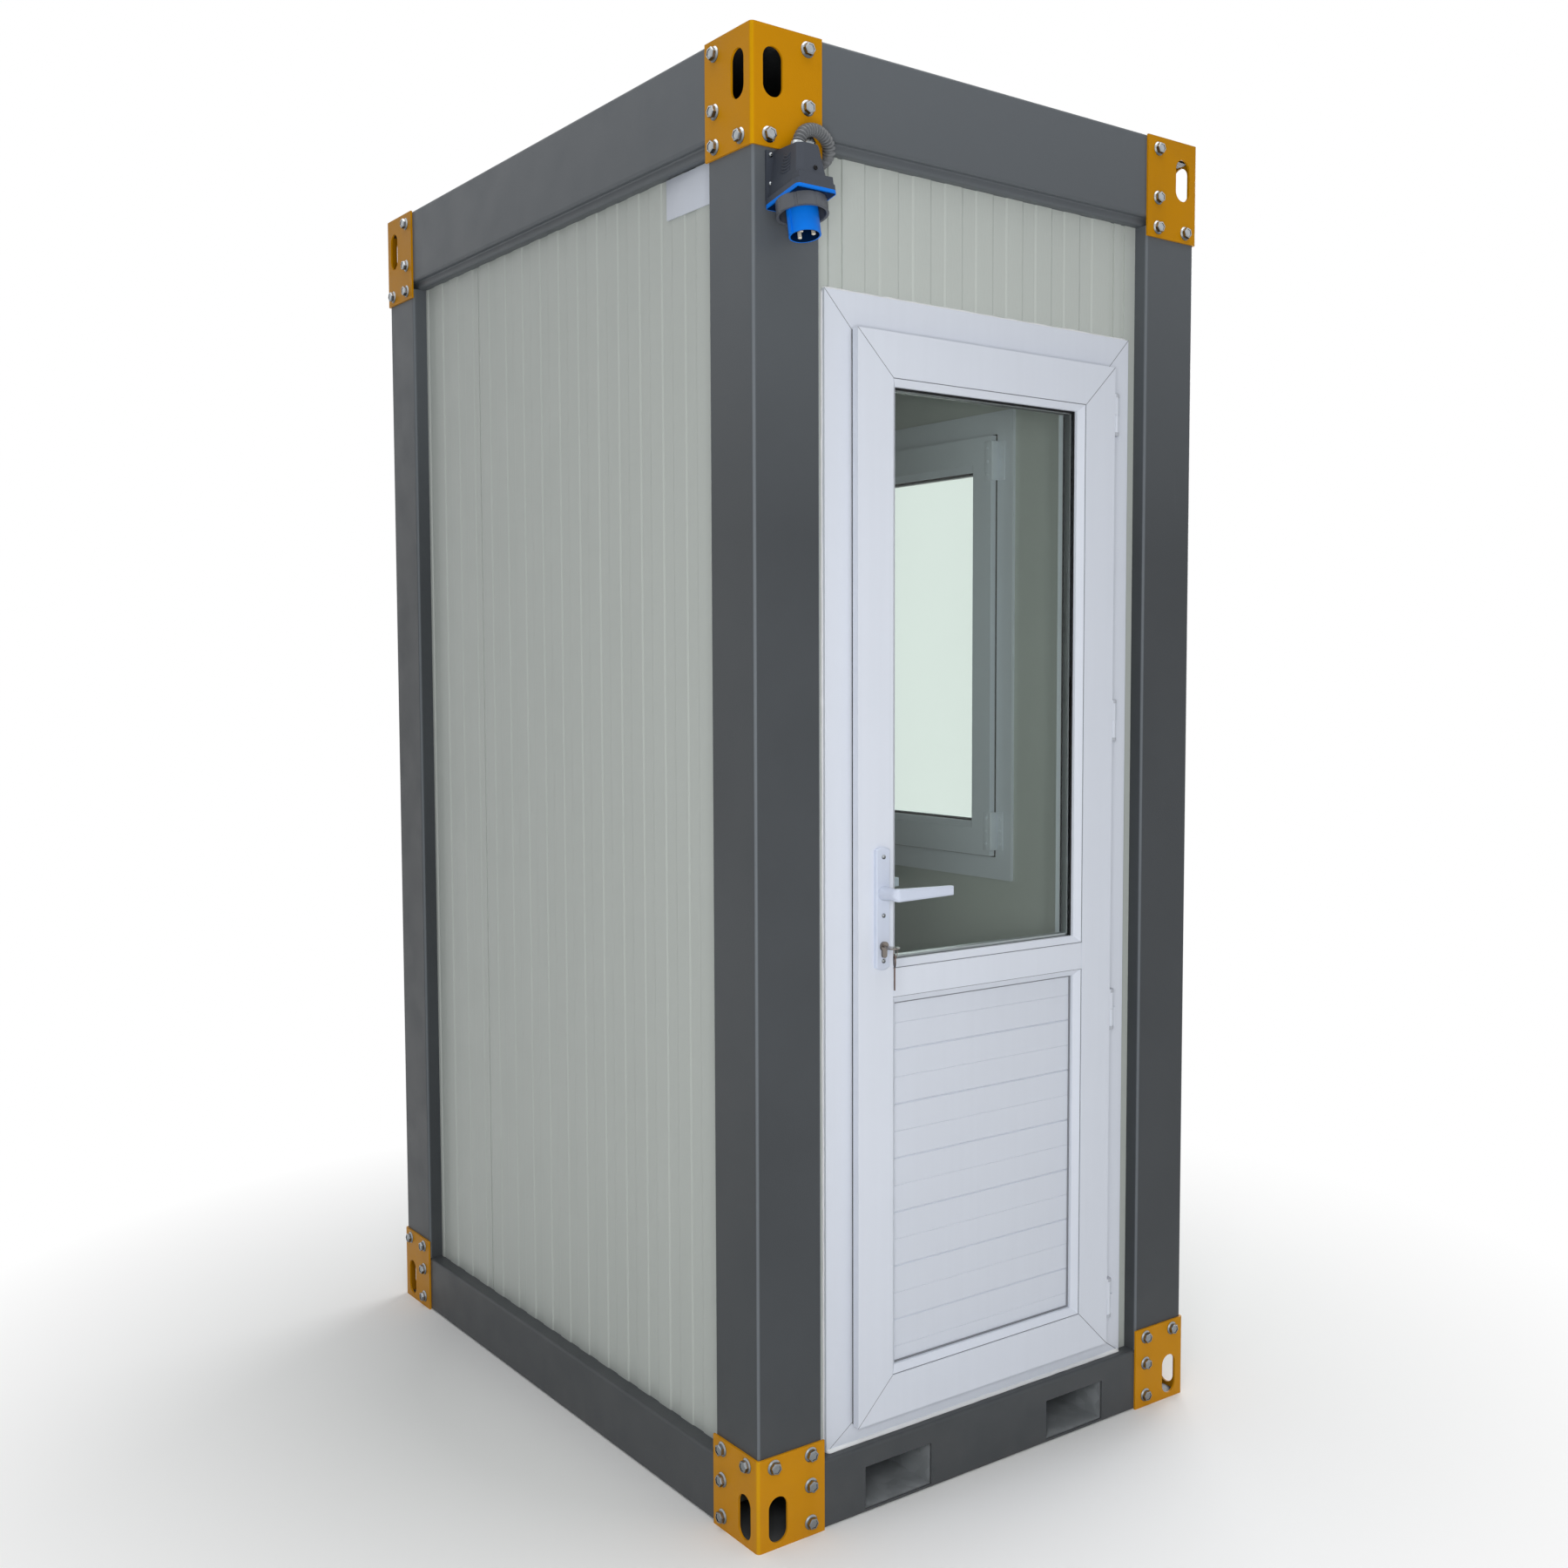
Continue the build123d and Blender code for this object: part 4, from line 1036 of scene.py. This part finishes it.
class CABIN_OT_inlet_fittings(bpy.types.Operator):
    """Fit the inlet's conduit and its metal end"""

    bl_idname = "cabin.inlet_fittings"
    bl_label = "Inlet fittings"

    ROUTE = (
        (-0.4575, -0.7409, 2.302), (-0.4545, -0.7399, 2.318), (-0.441, -0.7364, 2.338),
        (-0.409, -0.7274, 2.347), (-0.380, -0.7184, 2.336), (-0.3725, -0.7114, 2.317),
        (-0.3725, -0.6934, 2.308), (-0.3725, -0.670, 2.308))
    SLOPE_SHARE, FLAT_SHARE = 0.2, 0.3

    def conduit(self, sizes):
        """Ribbed tube along the route, from one rib repeated and bent to a smooth line."""
        clear_selection()
        bpy.ops.curve.primitive_nurbs_path_add()
        route = bpy.context.object
        spline = route.data.splines[0]
        spline.points.add(len(self.ROUTE) - len(spline.points))
        for point, place in zip(spline.points, self.ROUTE):
            point.co = (*place, 1)
        spline.order_u = 3
        spline.use_endpoint_u = True
        clear_selection()
        bpy.ops.mesh.primitive_circle_add(vertices=18, radius=sizes.conduit_groove)
        edit()
        bpy.ops.mesh.select_mode(type="EDGE")
        bpy.ops.mesh.select_all(action="SELECT")
        swell = sizes.conduit_crest / sizes.conduit_groove
        for scale in (swell, 1 / swell):
            pull_faces(self.SLOPE_SHARE * sizes.conduit_pitch)
            bpy.ops.transform.resize(value=(scale, scale, 1))
            pull_faces(self.FLAT_SHARE * sizes.conduit_pitch)
        leave()
        tube = bpy.context.object
        tube.data.transform(rotate(90, "Y"))
        count = int(spline.calc_length() / sizes.conduit_pitch)
        apply_modifier(
            "ARRAY", count=count, use_merge_vertices=True, merge_threshold=sizes.conduit_pitch / 20)
        apply_modifier("CURVE", object=route, deform_axis="POS_X")
        edit()
        bpy.ops.mesh.select_all(action="SELECT")
        bpy.ops.mesh.normals_make_consistent(inside=False)
        leave()
        bpy.data.objects.remove(route)

    def execute(self, context):
        sizes = context.scene.cabin_fittings
        self.conduit(sizes)
        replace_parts(settle("conduit", "cabin", "conduit_grey", 60), "inlet_conduit")

        start, onward = Vector(self.ROUTE[0]), Vector(self.ROUTE[1])
        ferrule = drum(24, sizes.ferrule_radius, sizes.ferrule_height)
        edit_top()
        raise_faces(0, sizes.ferrule_radius - sizes.conduit_crest)
        raise_faces(-sizes.ferrule_height / 3)
        leave()
        apply_modifier("BEVEL", width=sizes.ferrule_height / 12, segments=2)
        ferrule.data.transform(move(start) @ aim(onward - start))
        settle("conduit_end", "cabin", "bolt_zinc")
        return {"FINISHED"}


class CABIN_OT_inlet_mouth(bpy.types.Operator):
    """Fit the inlet's collar and pins, and dark sheets that paint the shade under its flange and inside its sleeve
    """

    bl_idname = "cabin.inlet_mouth"
    bl_label = "Inlet mouth"

    COLLAR_SIDES, GROOVES = 48, 8
    PIN_DEGREES = (-90, 30, 150)

    def collar(self, sizes):
        """Locking ring with a grooved grip and a lip at its open end."""
        radius, reach, groove = sizes.collar_radius, sizes.collar_length, sizes.collar_groove
        ring = drum(self.COLLAR_SIDES, radius, reach)
        edit()
        pick(lambda centre, normal: abs(normal.z) > SQUARELY)
        bpy.ops.mesh.inset(thickness=sizes.collar_wall, depth=0, use_individual=True)
        bpy.ops.mesh.bridge_edge_loops()
        pick(lambda centre, normal: normal.z > SQUARELY)
        pull_faces(sizes.collar_wall / 3)
        lip = 1 + groove / radius
        bpy.ops.transform.resize(value=(lip, lip, 1))

        def grooved(centre, normal):
            """True for the evenly spaced faces of the outside that are grooves."""
            number = round(math.atan2(centre.y, centre.x) / math.tau * self.COLLAR_SIDES - 0.5)
            outside = centre.xy.length > radius - sizes.collar_wall / 2 and centre.z < reach
            return outside and number % (self.COLLAR_SIDES // self.GROOVES) == 0

        pick(grooved)
        bpy.ops.mesh.inset(thickness=groove, depth=-groove, use_individual=True)
        leave()
        return ring

    def execute(self, context):
        sizes = context.scene.cabin_inlet
        mount = next(mount for mount in frame["record"]["mounts"] if mount["name"] == "power_inlet")
        axis = Vector(mount["axis"])
        rim = move(Vector(mount["pos_m"]) - axis * sizes.sleeve_length) @ aim(axis)
        under_flange = rim @ move((0, 0, sizes.flange_thickness))

        self.collar(sizes).data.transform(under_flange)
        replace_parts(settle("collar", "cabin", "collar_grey", 30), "inlet_collar")

        # Painted shade: a dark plate under the flange, where the blue flange lies in shade.
        half, depth = sizes.flange_shade_half
        plate = block((-half, -depth, 0), (half, depth, sizes.collar_wall / 4), sizes.collar_wall / 12)
        plate.data.transform(under_flange)
        settle("flange_painted_shade", "cabin", "inlet_navy")

        # Painted shade: a dark lining inside the sleeve, where its hollow lies in shade.
        lining = drum(32, sizes.sleeve_shade_radius, sizes.cavity)
        edit_top()
        bpy.ops.mesh.inset(thickness=sizes.collar_wall / 5, depth=0)
        pull_faces(sizes.collar_wall / 4 - sizes.cavity)
        leave()
        bottom = sizes.sleeve_length - sizes.cavity
        lining.data.transform(rim @ move((0, 0, bottom)))
        settle("sleeve_painted_shade", "cabin", "inlet_navy")

        pin = drum(16, sizes.pin_radius, sizes.pin_length)
        edit_top()
        raise_faces(sizes.pin_radius / 4, sizes.pin_radius / 3)
        leave()
        spot = Vector((sizes.pin_circle, 0, bottom))
        place_copies(pin, [rim @ move(rotate(degrees, "Z") @ spot) for degrees in self.PIN_DEGREES])
        settle("contact_pins", "cabin", "contact_metal", 50)
        return {"FINISHED"}


class CABIN_OT_inlet_hood(bpy.types.Operator):
    """Fit the hood's grip ribs and screws"""

    bl_idname = "cabin.inlet_hood"
    bl_label = "Inlet hood"

    RIBS, WIDENING_SHARE, ARC_SHARE = 6, 1 / 12, 0.72

    def grip(self, sizes):
        """Curved rib, the lower part of a ring, with its lowest point at the origin."""
        clear_selection()
        radius = sizes.grip_radius
        bpy.ops.mesh.primitive_torus_add(
            major_segments=40, minor_segments=8, major_radius=radius, minor_radius=sizes.grip_height)
        edit()
        pick(lambda centre, normal: centre.y > -radius * self.ARC_SHARE)
        bpy.ops.mesh.delete(type="FACE")
        bpy.ops.mesh.select_all(action="SELECT")
        bpy.ops.mesh.fill_holes(sides=0)
        leave()
        rib = bpy.context.object
        rib.data.transform(move((0, radius, 0)))
        return rib

    def execute(self, context):
        sizes, fittings = context.scene.cabin_inlet, context.scene.cabin_fittings
        low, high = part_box("inlet_housing")
        middle = (low.x + high.x) / 2
        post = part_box("post_front_left")[0].y
        lean = Matrix.Rotation(sizes.hood_side_lean, 4, "Y") @ TO_LEFT
        face = move((middle - sizes.hood_half, post - sizes.grip_depth, high.z)) @ lean
        places = []
        for number in range(self.RIBS):
            down = move((0, -sizes.grip_drop - number * sizes.grip_pitch, 0))
            places.append(face @ down @ Matrix.Scale(1 + number * self.WIDENING_SHARE, 4, (1, 0, 0)))
        place_copies(self.grip(sizes), places)
        settle("hood_grip", "cabin", "inlet_grey", 50)

        screw = round_head(fittings.screw_radius, fittings.screw_height)
        front = move((middle + sizes.front_screw_side, post - sizes.hood_depth, high.z))
        lean = Matrix.Rotation(-sizes.hood_front_lean, 4, "X") @ TO_FRONT
        place_copies(screw, [front @ lean @ move((0, -sizes.front_screw_drop, 0))], keep=True)
        settle("hood_screw", "cabin", "seal_rubber", 50)

        sides = (low.x + sizes.ear_screw_side, high.x - sizes.ear_screw_side)
        places = [
            move((side, post - sizes.ear_thickness, high.z - drop)) @ TO_FRONT
            for side in sides for drop in sizes.ear_screw_drops]
        place_copies(screw, places)
        settle("inlet_screws", "cabin", "bolt_zinc", 50)
        return {"FINISHED"}


class CABIN_OT_stage(bpy.types.Operator):
    """Set up the floor, the light and the camera"""

    bl_idname = "cabin.stage"
    bl_label = "Stage"

    AIM = Vector((0, 0, 1.2))
    WHITE = (1, 1, 1, 1)

    def white_for_sight(self, tree):
        """Share that is 1 for rays which the camera, gloss and glass send, and 0 for light on the object."""
        path = add_node(tree, "LightPath")
        seen = path["Is Camera Ray"]
        for ray in ("Is Glossy Ray", "Is Transmission Ray"):
            seen = add_node(tree, "Math", {0: seen, 1: path[ray]}, operation="MAXIMUM")["Value"]
        return seen

    def floor(self, stage):
        """Pale floor that keeps the cabin's shade and turns white further out."""
        clear_selection()
        bpy.ops.mesh.primitive_plane_add(size=stage.floor_size)
        floor = bpy.context.object
        floor.name = "stage_floor"
        finish = Finish("stage_floor", Base_Color=(0.86, 0.86, 0.85, 1), Roughness=0.85)
        distance = finish.node("VectorMath", {0: finish.place}, operation="LENGTH")["Value"]
        fade = finish.spread(distance, stage.floor_near, stage.floor_far, 0, 1)
        sight = finish.math("MULTIPLY", fade, self.white_for_sight(finish.tree))
        white = finish.node("Emission", {"Color": self.WHITE, "Strength": 1})["Emission"]
        pale = finish.shader.outputs["BSDF"]
        finish.show(finish.node("MixShader", {0: sight, 1: pale, 2: white})["Shader"])
        floor.data.materials.append(finish.material)

    def sky(self, stage):
        """Soft light from all round, which is white to the eye."""
        world = bpy.context.scene.world = bpy.data.worlds.new("stage_sky")
        world.use_nodes = True
        tree = world.node_tree
        sky = tree.nodes["Background"]
        sky.inputs["Color"].default_value = (0.93, 0.96, 1.0, 1)
        sky.inputs["Strength"].default_value = stage.sky_strength
        white = add_node(tree, "Background", {"Color": self.WHITE})[0]
        shown = add_node(tree, "MixShader", {0: self.white_for_sight(tree), 1: sky.outputs[0], 2: white})
        tree.links.new(shown[0], tree.nodes["World Output"].inputs["Surface"])

    def execute(self, context):
        stage = context.scene.cabin_stage
        context.scene.view_settings.view_transform = "Standard"
        self.floor(stage)
        self.sky(stage)
        lamps = (
            ("stage_top", (-0.3, -0.5, 5.5), 5.0, stage.top_power),
            ("stage_front", (-1.2, -4.4, 1.6), 2.5, stage.front_power),
            ("stage_side", (-1.7, -2.4, 1.5), 0.8, stage.side_power),
            ("stage_right", (4.1, 1.9, 3.0), 3.5, stage.right_power),
        )
        for name, place, size, watts in lamps:
            bpy.ops.object.light_add(type="AREA", location=place)
            lamp = context.object
            lamp.name = name
            lamp.data.size = size
            lamp.data.energy = watts
            lamp.visible_camera = False
            lamp.visible_glossy = name != "stage_side"
            lamp.rotation_euler = (self.AIM - lamp.location).to_track_quat("-Z", "Y").to_euler()

        bpy.ops.object.camera_add(location=stage.camera_place[:])
        camera = context.object
        camera.rotation_euler = (math.radians(90) + stage.camera_tilt, 0, -stage.camera_heading)
        camera.data.sensor_width = stage.camera_sensor
        camera.data.lens = stage.camera_lens
        camera.data.shift_x = stage.camera_shift
        context.scene.camera = camera
        return {"FINISHED"}


class CABIN_PT_pieces(bpy.types.Panel):
    """Lists the cabin's settings and the steps that dress it"""

    bl_idname = "CABIN_PT_pieces"
    bl_label = "Guard cabin"
    bl_space_type = "VIEW_3D"
    bl_region_type = "UI"
    bl_category = "Cabin"

    def draw(self, context):
        for group in SETTINGS:
            box = self.layout.box()
            settings = getattr(context.scene, group)
            for key in settings.__annotations__:
                box.prop(settings, key)
        for step in STEPS:
            self.layout.operator(step.bl_idname)


SETTINGS = {
    "cabin_bolts": CabinBolts,
    "cabin_glazing": CabinGlazing,
    "cabin_fittings": CabinFittings,
    "cabin_inlet": CabinInlet,
    "cabin_colours": CabinColours,
    "cabin_stage": CabinStage,
}
STEPS = (
    CABIN_OT_finishes,
    CABIN_OT_corner_bolts,
    CABIN_OT_glazing,
    CABIN_OT_welds,
    CABIN_OT_sealant,
    CABIN_OT_door_fittings,
    CABIN_OT_keys,
    CABIN_OT_wall_plate,
    CABIN_OT_window_fittings,
    CABIN_OT_inlet_fittings,
    CABIN_OT_inlet_mouth,
    CABIN_OT_inlet_hood,
    CABIN_OT_stage,
)


def register():
    """Add the settings, the steps and the panel."""
    for kind in (*SETTINGS.values(), *STEPS, CABIN_PT_pieces):
        bpy.utils.register_class(kind)
    for name, group in SETTINGS.items():
        setattr(bpy.types.Scene, name, PointerProperty(type=group))


def unregister():
    """Take away what register added."""
    for name in SETTINGS:
        delattr(bpy.types.Scene, name)
    for kind in (CABIN_PT_pieces, *reversed(STEPS), *SETTINGS.values()):
        bpy.utils.unregister_class(kind)


def main():
    """Dress the cabin step by step."""
    register()
    for step in STEPS:
        group, name = step.bl_idname.split(".")
        getattr(getattr(bpy.ops, group), name)()


if __name__ == "__main__":
    main()
